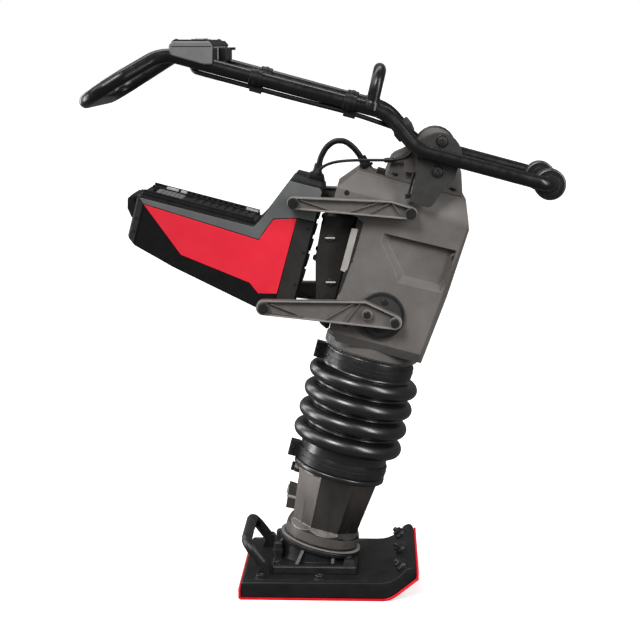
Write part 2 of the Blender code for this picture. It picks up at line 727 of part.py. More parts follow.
def build_battery(leg):
    battery = box("battery", (-0.4835, -0.078, 0.5745), (-0.2635, 0.078, 0.646), "black_plastic", leg,
                  bevel=0.003)
    grip = mm((-480, 634), (-499, 637), (-505, 628), (-501, 610), (-490, 596), (-480, 596))
    combine(battery, slab("battery_grip", grip, -0.050, 0.050, parent=leg), "UNION")
    recess = box("latch_recess", (-0.470, -0.0455, 0.640), (-0.4105, 0.0455, 0.660), parent=leg)
    combine(battery, recess)
    box("battery_latch", (-0.462, -0.045, 0.6405), (-0.411, 0.045, 0.6490), "grey_plastic", leg,
        bevel=0.0015)


def link_plate(name, outline, side, origin, holes, parent):
    """A link of the given outline on one side of the machine, with round holes for its pivots."""
    low, high = sorted((side * LINK_INNER, side * LINK_OUTER))
    plate = slab(name, outline, low, high, "cast_bronze", parent, origin)
    for number, (x, z, radius) in enumerate(holes):
        hole = rod(f"{name}_hole_{number}", (x, side * 0.1, z), (x, side * 0.14, z), radius, 16,
                   parent=parent)
        combine(plate, hole)
    return plate


def build_links(leg):
    upper = hull(arc(UPPER_FRONT, 0.0110, 0, 360, 20) + arc(UPPER_REAR, 0.0110, 0, 360, 20)
                 + [(-0.040, 0.752)])
    lower_bolt = (0.0238, 0.5421)
    lower = hull(arc(lower_bolt, 0.0125, 0, 360, 20) + arc(LOWER_REAR, 0.0135, 0, 360, 20)
                 + [(-0.037, 0.566)])
    for side, name in ((-1, "right"), (1, "left")):
        origin = (UPPER_FRONT[0], 0, UPPER_FRONT[1])
        holes = [(*UPPER_FRONT, 0.0063), (*UPPER_REAR, 0.0072)]
        link_plate(f"upper_link_{name}", upper, side, origin, holes, leg)
        origin = (LOWER_FRONT[0], 0, LOWER_FRONT[1])
        link_plate(f"lower_link_{name}", lower, side, origin, [(*LOWER_REAR, 0.0072)], leg)
        disc = turned(f"rocker_disc_{name}", mm((43, 7.6), (43, 0), (8.4, 0), (8.4, 7.6)), 32,
                      "dark_cast", leg, (LOWER_FRONT[0], side * 0.1003, LOWER_FRONT[1]), "Y", ring=True)
        if side < 0:
            disc.rotation_euler = (math.pi / 2, 0, 0)


# ---------------------------------------------------------------- handle


def handle_path():
    """The handle's one closed tube: grip bar, arms, straight rails, drop, and the front cross bar."""
    right = [
        ((-0.3980, -0.1720, 0.9130), 0.045),
        ((-0.3310, -0.1650, 0.9550), 0.050),
        ((-0.2604, -0.1300, 0.9973), 0.060),
        ((0.1344, -0.1225, 0.8929), 0.075),
        ((0.1876, -0.1375, 0.8295), 0.060),
        ((ROLLER_AXIS[0], -0.1375, ROLLER_AXIS[1]), 0.025),
    ]
    left = [((x, -y, z), radius) for (x, y, z), radius in reversed(right)]
    return bent(right + left, closed=True)


def square_on(centre, width, height, degrees):
    """The corners of a rectangle about centre, turned anticlockwise."""
    turn = Matrix.Rotation(math.radians(degrees), 2)
    corners = [turn @ Vector((i * width / 2, j * height / 2)) for i, j in ((-1, -1), (1, -1), (1, 1), (-1, 1))]
    return [(centre[0] + corner.x, centre[1] + corner.y) for corner in corners]


def tube_seat(name, pivot):
    """The handle tube with a little clearance, to cut its seat in the pieces fixed to it."""
    return wire(name, handle_path(), TUBE_RADIUS + GAP, None, None, pivot, 12, closed=True)


def build_handle(pivot):
    wire("handle_frame", handle_path(), TUBE_RADIUS, "tube_black", None, pivot, 12, closed=True)
    foot_low, foot_high = (0.1055, 0.9005), (0.1205, 0.9665)
    hoop = [
        ((foot_low[0], -0.1225, foot_low[1]), 0), ((foot_high[0], -0.1225, foot_high[1]), 0.034),
        ((foot_high[0], 0.1225, foot_high[1]), 0.034), ((foot_low[0], 0.1225, foot_low[1]), 0),
    ]
    bail = wire("lifting_bail", bent(hoop), 0.0115, "tube_black", None, pivot, 12)
    combine(bail, tube_seat("bail_tube_seat", pivot))
    brace = slab("cross_brace", square_on((0.1645, 0.8590), 0.0185, 0.035, -50), -0.1150, 0.1150,
                 "black_steel", None, pivot, bevel=0.002)
    combine(brace, rod("brace_cable_hole", (0.1450, -0.104, 0.8700), (0.1840, -0.104, 0.8480), 0.007, 16,
                       None, None, pivot))
    combine(brace, tube_seat("brace_tube_seat", pivot))
    plate = mm((-16.5, 838), (-8.5, 807), (-7.4, 763), (-3, 759), (26, 757.5), (32.6, 761), (50, 806),
               (59, 818)) + arc((0.022, 0.852), 0.040, -18, 198, 14)
    plate = [leg_to_world(x, z) for x, z in plate]
    for side, name in ((-1, "right"), (1, "left")):
        low, high = sorted((side * 0.1184, side * 0.1246))
        mount = slab(f"handle_plate_{name}", plate, low, high, "dark_cast", None, pivot)
        combine(mount, tube_seat(f"plate_tube_seat_{name}", pivot))
        for number, (x, z) in enumerate(((0.021, 0.877), (0.027, 0.823))):
            x, z = leg_to_world(x, z)
            head = rod(f"handle_bolt_{name}_{number}", (x, side * 0.122, z), (x, side * 0.129, z), 0.0085,
                       6, None, None, pivot)
            combine(mount, head, "UNION")


def build_console(pivot):
    outline = mm((-248, 1001), (-244, 993), (-187, 977.5), (-172, 977.5), (-171, 1011), (-177, 1018),
                 (-241, 1018), (-248, 1011))
    console = slab("console_housing", outline, -0.1455, 0.1455, "grey_plastic", None, pivot, bevel=0.002)
    combine(console, tube_seat("console_tube_seat", pivot))
    combine(console, box("button_well", (-0.2178, -0.0128, 1.0085), (-0.1942, 0.0128, 1.0300), None, None,
                         pivot))
    combine(console, box("lever_slot", (-0.1850, 0.0870, 0.9960), (-0.1600, 0.1240, 1.0120), None, None,
                         pivot))
    box("power_button", (-0.2170, -0.0120, 1.0120), (-0.1950, 0.0120, 1.0235), "grey_plastic", None, pivot,
        bevel=0.001)
    x, y, z = LEVER_HINGE
    lever = rod("throttle_lever", (x, y - 0.0175, z), (x, y + 0.0175, z), 0.005, 12, "black_plastic", None,
                LEVER_HINGE)
    blade = box("lever_blade", (x, y - 0.0170, z - 0.0025), (x + 0.024, y + 0.0170, z + 0.0025), None, None,
                LEVER_HINGE)
    combine(lever, blade, "UNION")


def build_rollers():
    half = 0.015
    bore = TUBE_RADIUS + 0.0006
    edge = 0.003
    profile = [
        (ROLLER_RADIUS - edge, half), (ROLLER_RADIUS, half - edge), (ROLLER_RADIUS, edge - half),
        (ROLLER_RADIUS - edge, -half), (bore, -half), (bore, half),
    ]
    for side, name in ((-1, "right"), (1, "left")):
        at = (ROLLER_AXIS[0], side * ROLLER_CENTRE, ROLLER_AXIS[1])
        turned(f"roller_{name}", profile, 28, "rubber", None, at, "Y", ring=True)


# ---------------------------------------------------------------- cables

POWER_ROUTE_PACK = mm(
    (6.5, 0, 778.8), (8.5, 0, 788), (13, 0, 806), (22, 0, 823), (33, 0, 833), (41, 0, 836.5), (46, 0, 837),
)
POWER_ROUTE_CASE = mm(
    (50, 0, 837), (55, 0, 836.3), (63, 0, 832.5), (74, 0, 823.5), (84, 0, 811), (90, 0, 800.7), (93.7, 0, 794.5),
)
SIGNAL_ROUTE_PACK = mm(
    (9.9, -24, 779.2), (12, -24.5, 785), (22, -27, 793.5), (40, -33, 800), (64, -42, 803.5),
    (92, -53, 805.2), (118, -63, 806), (137, -69.5, 806.6),
)
SIGNAL_ROUTE_HANDLE = mm(
    (140, -70.4, 806.8), (154, -74, 808.5), (168, -78, 812.5), (177, -83.5, 821), (180, -91, 834),
    (176, -99, 847), (171, -103, 855), (168, -104, 858),
)
CONTROL_ROUTE = mm(
    (-199, -122.5, 963.2), (-160, -122.5, 952.8), (-105, -122.5, 938.2), (-50, -122.5, 923.6),
    (5, -122.5, 909.6), (60, -122.5, 895.6), (92, -122, 886), (111, -119.5, 879.5),
    (128, -113, 873.4), (144, -106.5, 867.6), (156, -104, 863.8), (165, -104, 859.5),
)


def build_cables(pivot):
    wire("power_cable_pack", smooth_route(POWER_ROUTE_PACK, 0.009), 0.0055, "rubber")
    wire("power_cable_case", smooth_route(POWER_ROUTE_CASE, 0.009), 0.0055, "rubber")
    wire("signal_cable_pack", smooth_route(SIGNAL_ROUTE_PACK, 0.009), 0.00275, "rubber")
    wire("signal_cable_handle", smooth_route(SIGNAL_ROUTE_HANDLE, 0.009), 0.00275, "rubber")
    wire("control_cable", smooth_route(CONTROL_ROUTE, 0.016), 0.00425, "rubber", None, pivot)


# ---------------------------------------------------------------- the whole machine


def build():
    leg = empty("leg_axis", (LEG_FOOT_X, 0, 0), (0, TILT, 0))
    pivot_x, pivot_z = leg_to_world(*HANDLE_PIVOT)
    pivot = (pivot_x, 0, pivot_z)
    build_shoe()
    build_shoe_handle()
    build_foot_casting(leg)
    build_leg(leg)
    build_bellows(leg)
    build_clamp(leg, "lower_clamp", 0.2285, 0.2520)
    build_clamp(leg, "upper_clamp", 0.425, 0.449)
    build_plunger(leg)
    build_spring(leg, "spring_lower", 0.0925, 0.1515, 3)
    build_spring(leg, "spring_upper", 0.1665, 0.2615, 5)
    build_guide(leg)
    build_drive(leg)
    build_crankcase(leg)
    build_motor_housing(leg)
    build_handle_support(leg)
    build_pack(leg)
    build_battery(leg)
    build_links(leg)
    build_handle(pivot)
    build_console(pivot)
    build_rollers()
    build_cables(pivot)


clear_scene()
PARTS = new_collection("jumping_jack_rammer")
CUTTERS = new_collection("cutters")
build()
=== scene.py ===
"""Looks of a battery powered jumping jack rammer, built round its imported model. Metres, +X forward, +Z up.

Most of the machine is described in the leg's own frame, in millimetres: x forward across the leg, y to the
operator's left, z up along the leg. LEG turns that frame into the row frame, and WORLD turns upright
millimetres into it.
"""

import math

import bmesh
import bpy
from mathutils import Matrix, Vector


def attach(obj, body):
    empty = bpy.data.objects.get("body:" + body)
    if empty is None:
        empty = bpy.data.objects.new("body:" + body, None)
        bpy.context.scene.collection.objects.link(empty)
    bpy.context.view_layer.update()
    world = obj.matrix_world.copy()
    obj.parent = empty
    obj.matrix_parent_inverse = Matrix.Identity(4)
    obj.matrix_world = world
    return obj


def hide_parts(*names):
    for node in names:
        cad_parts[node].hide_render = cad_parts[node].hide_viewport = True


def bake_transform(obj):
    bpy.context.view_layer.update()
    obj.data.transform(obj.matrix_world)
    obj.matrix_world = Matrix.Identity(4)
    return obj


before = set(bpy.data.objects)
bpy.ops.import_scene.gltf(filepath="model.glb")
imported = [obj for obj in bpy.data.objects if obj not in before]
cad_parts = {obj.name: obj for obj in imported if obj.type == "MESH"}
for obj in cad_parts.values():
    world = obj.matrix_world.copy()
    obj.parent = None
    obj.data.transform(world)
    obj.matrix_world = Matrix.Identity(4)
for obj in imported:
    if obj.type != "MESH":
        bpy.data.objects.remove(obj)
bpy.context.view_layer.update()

LEG_TILT = 14.46
LEG_FOOT_X = -0.0074
WORLD = Matrix.Scale(0.001, 4)
LEG = Matrix.Translation((LEG_FOOT_X, 0, 0)) @ Matrix.Rotation(math.radians(LEG_TILT), 4, "Y") @ WORLD

FIRST_RING = 286.3
RING_PITCH = 39
RING_COUNT = 4
CLAMPS = (("foot", 228.5, 252, "lower"), ("machine", 425, 449, "upper"))
LEG_SIDES = 8
CASE_SIDE = 80
LINK_INNER = 108.4
LINK_OUTER = 130.0
PACK_SIDE = 89.6
RAIL_REAR = Vector((-260.4, -130.0, 997.3))
RAIL_FRONT = Vector((134.4, -122.5, 892.9))
TUBE_RADIUS = 12.5
ROLLER_X, ROLLER_Y, ROLLER_Z = 425, 96, 766.5
CONSOLE_SIDE = 145.2


# ---------------------------------------------------------------- materials


def surface(name, colour, rough, metal=0.0, tint=0.2, patch=22, grain=700, bump=0.12, speck=0.0,
            spread=0.08, gloss=0.5, streak=1.0):
    """A finish whose colour and roughness drift in soft patches, with fine grain in its relief and,
    for a casting, small pale specks."""
    made = bpy.data.materials.new(name)
    made.use_nodes = True
    nodes, links = made.node_tree.nodes, made.node_tree.links
    shader = nodes["Principled BSDF"]
    shader.inputs["Metallic"].default_value = metal
    shader.inputs["Specular IOR Level"].default_value = gloss
    place = nodes.new("ShaderNodeTexCoord")
    stretch = nodes.new("ShaderNodeMapping")
    stretch.inputs["Scale"].default_value = (1, 1, streak)
    links.new(place.outputs["Object"], stretch.inputs["Vector"])

    def noise(scale, detail):
        made_noise = nodes.new("ShaderNodeTexNoise")
        made_noise.inputs["Scale"].default_value = scale
        made_noise.inputs["Detail"].default_value = detail
        made_noise.inputs["Roughness"].default_value = 0.6
        links.new(stretch.outputs["Vector"], made_noise.inputs["Vector"])
        return made_noise.outputs["Fac"]

    def spanned(source, low, high, to_low=0.0, to_high=1.0):
        span = nodes.new("ShaderNodeMapRange")
        for key, value in (("From Min", low), ("From Max", high), ("To Min", to_low), ("To Max", to_high)):
            span.inputs[key].default_value = value
        links.new(source, span.inputs["Value"])
        return span.outputs["Result"]

    def mixed(factor, first, second):
        mix = nodes.new("ShaderNodeMix")
        mix.data_type = "RGBA"
        links.new(factor, mix.inputs["Factor"])
        for socket, value in ((mix.inputs["A"], first), (mix.inputs["B"], second)):
            if isinstance(value, tuple):
                socket.default_value = (*value, 1)
            else:
                links.new(value, socket)
        return mix.outputs["Result"]

    dark = tuple(c * (1 - tint) for c in colour)
    light = tuple(min(1.0, c * (1 + tint)) for c in colour)
    tone = mixed(spanned(noise(patch, 5), 0.32, 0.68), dark, light)
    if speck:
        pale = tuple(min(1.0, c * 1.9 + 0.03) for c in colour)
        tone = mixed(spanned(noise(patch * 7, 8), 0.58, 0.76, 0.0, speck), tone, pale)
    links.new(tone, shader.inputs["Base Color"])
    links.new(spanned(noise(patch * 2.3, 4), 0.3, 0.7, rough - spread, rough + spread),
              shader.inputs["Roughness"])
    relief = nodes.new("ShaderNodeBump")
    relief.inputs["Strength"].default_value = bump
    relief.inputs["Distance"].default_value = 0.0006
    links.new(noise(grain, 3), relief.inputs["Height"])
    links.new(relief.outputs["Normal"], shader.inputs["Normal"])
    return made


CAST = surface("cast_grey", (0.120, 0.110, 0.103), 0.46, 0.0, 0.24, 9, 520, 0.14, 0.12, gloss=0.34)
LINK = surface("link_grey", (0.118, 0.107, 0.100), 0.44, 0.1, 0.16, 24, 600, 0.14, 0.25)
# A lighter copy of the link grey for lit rims and edges: a painted highlight.
EDGE_HIGHLIGHT = surface("painted_edge_highlight", (0.250, 0.232, 0.218), 0.40, 0.3, 0.12, 24, 600, 0.10)
LEG_METAL = surface("leg_grey", (0.170, 0.156, 0.147), 0.36, 1.0, 0.14, 20, 600, 0.10, streak=0.4)
LEG_BAND = surface("leg_band_grey", (0.080, 0.073, 0.068), 0.46, 0.1, 0.16, 24, 600, 0.12, 0.20)
PALE_CAST = surface("milled_edge", (0.42, 0.40, 0.38), 0.40, 0.30, 0.12, 40, 900, 0.10)
DARK_CAST = surface("dark_cast_grey", (0.030, 0.029, 0.028), 0.48, 0.10, 0.22, 34, 700, 0.22, 0.35, gloss=0.4)
PLASTIC = surface("black_moulding", (0.0052, 0.0052, 0.0056), 0.46, 0.0, 0.20, 30, 1500, 0.10, gloss=0.28)
PACK_BLACK = surface("pack_black", (0.0044, 0.0044, 0.0048), 0.52, 0.0, 0.20, 30, 1500, 0.10, gloss=0.16)
MATT = surface("shoe_black", (0.0070, 0.0070, 0.0074), 0.50, 0.0, 0.30, 26, 1100, 0.16, 0.12, gloss=0.26)
IRON = surface("foot_black", (0.0100, 0.0100, 0.0104), 0.40, 0.10, 0.25, 40, 650, 0.30, 0.25, gloss=0.45)
HOUSING = surface("motor_black", (0.0210, 0.0192, 0.0180), 0.48, 0.0, 0.22, 30, 1200, 0.22, gloss=0.25)
TUBE = surface("tube_black", (0.0046, 0.0046, 0.0050), 0.30, 0.0, 0.15, 30, 1600, 0.03, gloss=0.42)
RUBBER = surface("bellows_rubber", (0.0046, 0.0046, 0.0050), 0.31, 0.0, 0.15, 40, 900, 0.01, gloss=0.90,
                 spread=0.04)
CABLE = surface("cable_rubber", (0.0070, 0.0070, 0.0074), 0.42, 0.0, 0.15, 60, 1500, 0.10, gloss=0.35)
STEEL_BLACK = surface("blackened_steel", (0.022, 0.022, 0.023), 0.36, 0.45, 0.25, 60, 900, 0.15, 0.20)
STEEL = surface("machined_steel", (0.42, 0.41, 0.40), 0.28, 1.0, 0.15, 50, 1200, 0.10)
COPPER = surface("wound_copper", (0.50, 0.20, 0.09), 0.42, 1.0, 0.20, 60, 500, 0.30)
SOLE_RED = surface("sole_red", (0.780, 0.004, 0.018), 0.42, 0.0, 0.12, 30, 900, 0.12)
PANEL_RED = surface("panel_red", (0.700, 0.016, 0.036), 0.46, 0.0, 0.06, 14, 1500, 0.14, gloss=0.35)
GREY = surface("console_grey", (0.150, 0.150, 0.151), 0.50, 0.0, 0.10, 40, 1500, 0.16, gloss=0.35)
BAND = surface("pack_grey", (0.105, 0.108, 0.109), 0.50, 0.0, 0.10, 30, 1500, 0.18, gloss=0.35)
PALE = surface("pale_plastic", (0.42, 0.42, 0.42), 0.45, 0.0, 0.10, 50, 1200, 0.10)
ALLOY = surface("controller_alloy", (0.30, 0.30, 0.31), 0.38, 0.9, 0.12, 40, 900, 0.15)


# ---------------------------------------------------------------- shapes

BEVEL_ANGLE = 34
CREASE_ANGLE = 47


def smooth(obj, bevel):
    """Rounds the edges and keeps the flats flat."""
    if bevel:
        edge = obj.modifiers.new("edges", "BEVEL")
        edge.width = bevel
        edge.segments = 2
        edge.limit_method = "ANGLE"
        edge.angle_limit = math.radians(BEVEL_ANGLE)
        edge.use_clamp_overlap = False
    split = obj.modifiers.new("creases", "EDGE_SPLIT")
    split.split_angle = math.radians(CREASE_ANGLE)
    split.use_edge_sharp = False
    flat = obj.modifiers.new("flats", "WEIGHTED_NORMAL")
    flat.weight = 60
    flat.keep_sharp = True


def dress(material, *names, bevel=0.0006):
    """Gives CAD nodes their finish and soft edges. Their shape stays the model's own."""
    for name in names:
        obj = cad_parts[name]
        custom = obj.data.attributes.get("custom_normal")
        if custom:
            obj.data.attributes.remove(custom)
        obj.data.materials.clear()
        obj.data.materials.append(material)
        obj.data.shade_smooth()
        weld = obj.modifiers.new("weld", "WELD")
        weld.merge_threshold = 0.00001
        smooth(obj, bevel)


def aim(point, direction, turn=0.0):
    """A frame at the point, with its own z along the direction."""
    turned = Vector((0, 0, 1)).rotation_difference(Vector(direction)).to_matrix().to_4x4()
    return Matrix.Translation(point) @ turned @ Matrix.Rotation(math.radians(turn), 4, "Z")


def arc(centre, radius, start, end, steps):
    """Points on an arc about centre, from the start angle to the end angle in degrees."""
    return [
        (centre[0] + radius * math.cos(math.radians(start + (end - start) * i / steps)),
         centre[1] + radius * math.sin(math.radians(start + (end - start) * i / steps)))
        for i in range(steps + 1)
    ]


def cross(a, b, c):
    return (b[0] - a[0]) * (c[1] - a[1]) - (b[1] - a[1]) * (c[0] - a[0])


def hull(points):
    """The convex outline round the points, anticlockwise."""
    ordered = sorted(set(points))
    halves = []
    for run in (ordered, ordered[::-1]):
        half = []
        for p in run:
            while len(half) > 1 and cross(half[-2], half[-1], p) <= 0:
                half.pop()
            half.append(p)
        halves.append(half[:-1])
    return halves[0] + halves[1]


def inset(outline, width):
    """An anticlockwise convex outline, moved in by width, point for point."""
    moved = []
    for before, here, after in zip(outline[-1:] + outline, outline, outline[1:] + outline[:1]):
        back = (Vector(here) - Vector(before)).normalized()
        ahead = (Vector(after) - Vector(here)).normalized()
        along = back + ahead
        along.normalize()
        reach = width / max(0.4, along.dot(ahead))
        moved.append((here[0] - along.y * reach, here[1] + along.x * reach))
    return moved


def bent(corners, closed=False, steps=12):
    """The centreline of a bent tube: corners are (point, bend radius), and each bend becomes an arc."""
    count = len(corners)
    path = []
    for i, (corner, radius) in enumerate(corners):
        corner = Vector(corner)
        if not closed and i in (0, count - 1) or not radius:
            path.append(corner)
            continue
        back = (Vector(corners[i - 1][0]) - corner).normalized()
        ahead = (Vector(corners[(i + 1) % count][0]) - corner).normalized()
        half = back.angle(ahead) / 2
        centre = corner + (back + ahead).normalized() * radius / math.sin(half)
        first = corner + back * radius / math.tan(half) - centre
        last = corner + ahead * radius / math.tan(half) - centre
        whole = first.angle(last)
        for k in range(steps + 1):
            share = k / steps
            between = first * math.sin((1 - share) * whole) + last * math.sin(share * whole)
            path.append(centre + between / math.sin(whole))
    return path


def smooth_route(points, spacing):
    """Evenly spaced points on a smooth curve through the route's own points."""
    ends = [2 * Vector(points[0]) - Vector(points[1])]
    ends += [Vector(p) for p in points]
    ends += [2 * Vector(points[-1]) - Vector(points[-2])]
    fine = []
    for before, here, there, after in zip(ends, ends[1:], ends[2:], ends[3:]):
        for k in range(20):
            t = k / 20
            fine.append(
                0.5 * (2 * here + (there - before) * t
                       + (2 * before - 5 * here + 4 * there - after) * t * t
                       + (3 * here - before - 3 * there + after) * t ** 3)
            )
    fine.append(ends[-2])
    total = sum((b - a).length for a, b in zip(fine, fine[1:]))
    count = max(2, round(total / spacing))
    route, done, wanted = [fine[0]], 0.0, total / count
    for a, b in zip(fine, fine[1:]):
        done += (b - a).length
        if done >= wanted * len(route) - 1e-9 and len(route) < count:
            route.append(b)
    return route + [fine[-1]]


class Piece:
    """One visible piece, put together from closed shapes in the given frame."""

    def __init__(self, base=LEG):
        self.bm = bmesh.new()
        self.base = base

    def add(self, points, faces, at=Matrix()):
        made = [self.bm.verts.new(self.base @ at @ Vector(p)) for p in points]
        for face in faces:
            self.bm.faces.new([made[i] for i in face])
        return self

    def box(self, low, high, at=Matrix(), taper=(1.0, 1.0)):
        """A box between two corners. taper narrows its top in x and y."""
        middle = [(a + b) / 2 for a, b in zip(low, high)]
        points = []
        for z, shrink in ((low[2], (1, 1)), (high[2], taper)):
            for i, j in ((-1, -1), (1, -1), (1, 1), (-1, 1)):
                points.append((middle[0] + i * (high[0] - low[0]) / 2 * shrink[0],
                               middle[1] + j * (high[1] - low[1]) / 2 * shrink[1], z))
        faces = [(3, 2, 1, 0), (4, 5, 6, 7)] + [(i, (i + 1) % 4, 4 + (i + 1) % 4, 4 + i) for i in range(4)]
        return self.add(points, faces, at)

    def slab(self, outline, low_y, high_y, at=Matrix(), shrink=0.0):
        """An (x, z) outline, as thick as from low_y to high_y. shrink insets the face at high_y."""
        count = len(outline)
        far = inset(outline, shrink) if shrink else outline
        points = [(x, low_y, z) for x, z in outline] + [(x, high_y, z) for x, z in far]
        faces = [tuple(range(count)), tuple(range(2 * count - 1, count - 1, -1))]
        faces += [(i, count + i, count + (i + 1) % count, (i + 1) % count) for i in range(count)]
        return self.add(points, faces, at)

    def rim(self, outline, width, low_y, high_y):
        """A raised border of that width, just inside the outline."""
        count = len(outline)
        inner = inset(outline, width)
        rings = [(outline, low_y), (outline, high_y), (inner, high_y), (inner, low_y)]
        points = [(x, y, z) for ring, y in rings for x, z in ring]
        faces = []
        for k in range(4):
            a, b = k * count, (k + 1) % 4 * count
            faces += [(a + i, a + (i + 1) % count, b + (i + 1) % count, b + i) for i in range(count)]
        return self.add(points, faces)

    def bar(self, start, end, width, low_y, high_y):
        """A straight rib between two (x, z) points."""
        along = (Vector(end) - Vector(start)).normalized()
        side = Vector((-along.y, along.x)) * width / 2
        corners = [Vector(start) - side, Vector(end) - side, Vector(end) + side, Vector(start) + side]
        return self.slab([tuple(c) for c in corners], low_y, high_y)

    def turned(self, profile, steps=32, at=Matrix(), ring=False, whole=360.0, start=0.0):
        """A turned shape about its own z. A ring's profile closes on itself, and another's ends are
        capped. whole is less than 360 for a part of a turn."""
        count = len(profile)
        turns = steps if whole == 360.0 else steps + 1
        points = []
        for i in range(turns):
            angle = math.radians(start + whole * i / steps)
            points += [(r * math.cos(angle), r * math.sin(angle), z) for r, z in profile]
        spans = [(k, (k + 1) % count) for k in range(count if ring else count - 1)]
        faces = []
        for i in range(steps):
            a, b = i * count, (i + 1) % turns * count
            faces += [(a + k, b + k, b + n, a + n) for k, n in spans]
        if whole != 360.0:
            faces += [tuple(range(count)), tuple((turns - 1) * count + k for k in reversed(range(count)))]
        elif not ring:
            faces += [tuple(i * count for i in range(turns)),
                      tuple(i * count + count - 1 for i in reversed(range(turns)))]
        return self.add(points, faces, at)

    def tube(self, points, radius, sides=20, closed=False):
        """A round tube along the points. radius may be a list, one for each point."""
        points = [Vector(p) for p in points]
        count = len(points)
        radii = radius if isinstance(radius, list) else [radius] * count
        tangents = []
        for i in range(count):
            before = points[i - 1] if closed or i else points[0]
            after = points[(i + 1) % count] if closed or i < count - 1 else points[-1]
            tangents.append((after - before).normalized())
        side = tangents[0].orthogonal().normalized()
        rings = []
        for i, (at, along) in enumerate(zip(points, tangents)):
            if i:
                side = tangents[i - 1].rotation_difference(along) @ side
            rings.append((at, side.copy(), along.cross(side)))
        slip = 0.0
        if closed:
            carried = tangents[-1].rotation_difference(tangents[0]) @ side
            slip = math.atan2(carried.dot(rings[0][2]), carried.dot(rings[0][1]))
        ring_points = []
        for i, (at, u, v) in enumerate(rings):
            for k in range(sides):
                angle = math.tau * k / sides - slip * i / count
                ring_points.append(at + (u * math.cos(angle) + v * math.sin(angle)) * radii[i])
        faces = []
        for i in range(count if closed else count - 1):
            a, b = i * sides, (i + 1) % count * sides
            faces += [(a + k, a + (k + 1) % sides, b + (k + 1) % sides, b + k) for k in range(sides)]
        if not closed:
            faces += [tuple(reversed(range(sides))), tuple((count - 1) * sides + k for k in range(sides))]
        return self.add([tuple(p) for p in ring_points], faces)

    def bolt(self, point, direction, size, washer=True, stud=0.0):
        """A hexagon head on its washer, with a sunk centre or, for a nut, the stud's end in it."""
        at = aim(point, direction)
        lift = 0.0
        if washer:
            self.turned([(0, -1), (size * 1.25, -1), (size * 1.25, size * 0.16), (size * 1.18, size * 0.22),
                         (0, size * 0.22)], 28, at)
            lift = size * 0.2
        top = lift + size * 0.72
        self.turned([(0, lift - 1), (size, lift - 1), (size, top - size * 0.12), (size * 0.86, top),
                     (size * 0.55, top), (size * 0.50, top - size * 0.12), (0, top - size * 0.12)], 6, at)
        if stud:
            self.turned([(0, lift), (size * 0.48, lift), (size * 0.48, top + stud - size * 0.12),
                         (size * 0.36, top + stud), (0, top + stud)], 20, at)
        return self

    def screw(self, point, direction, size, height=None):
        """A round cap screw, with a six-sided body sunk into its head."""
        height = height or size * 0.9
        at = aim(point, direction)
        self.turned([(0, -1), (size, -1), (size, height * 0.82), (size * 0.86, height),
                     (size * 0.56, height), (size * 0.56, height)], 24, at)
        self.turned([(size * 0.56, height), (size * 0.52, height * 0.35), (0, height * 0.35)], 6, at)
        return self

    def done(self, name, material, body=None, slot=None, bevel=0.0, replaces=()):
        bm = self.bm
        bmesh.ops.remove_doubles(bm, verts=bm.verts, dist=0.000001)
        bmesh.ops.dissolve_degenerate(bm, edges=bm.edges, dist=0.000001)
        bmesh.ops.recalc_face_normals(bm, faces=bm.faces)
        mesh = bpy.data.meshes.new(name)
        bm.to_mesh(mesh)
        bm.free()
        mesh.materials.append(material)
        mesh.shade_smooth()
        obj = bpy.data.objects.new(name, mesh)
        bpy.context.scene.collection.objects.link(obj)
        smooth(obj, bevel)
        if replaces:
            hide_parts(*replaces)
        if body:
            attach(obj, body)
        return obj


# ---------------------------------------------------------------- foot


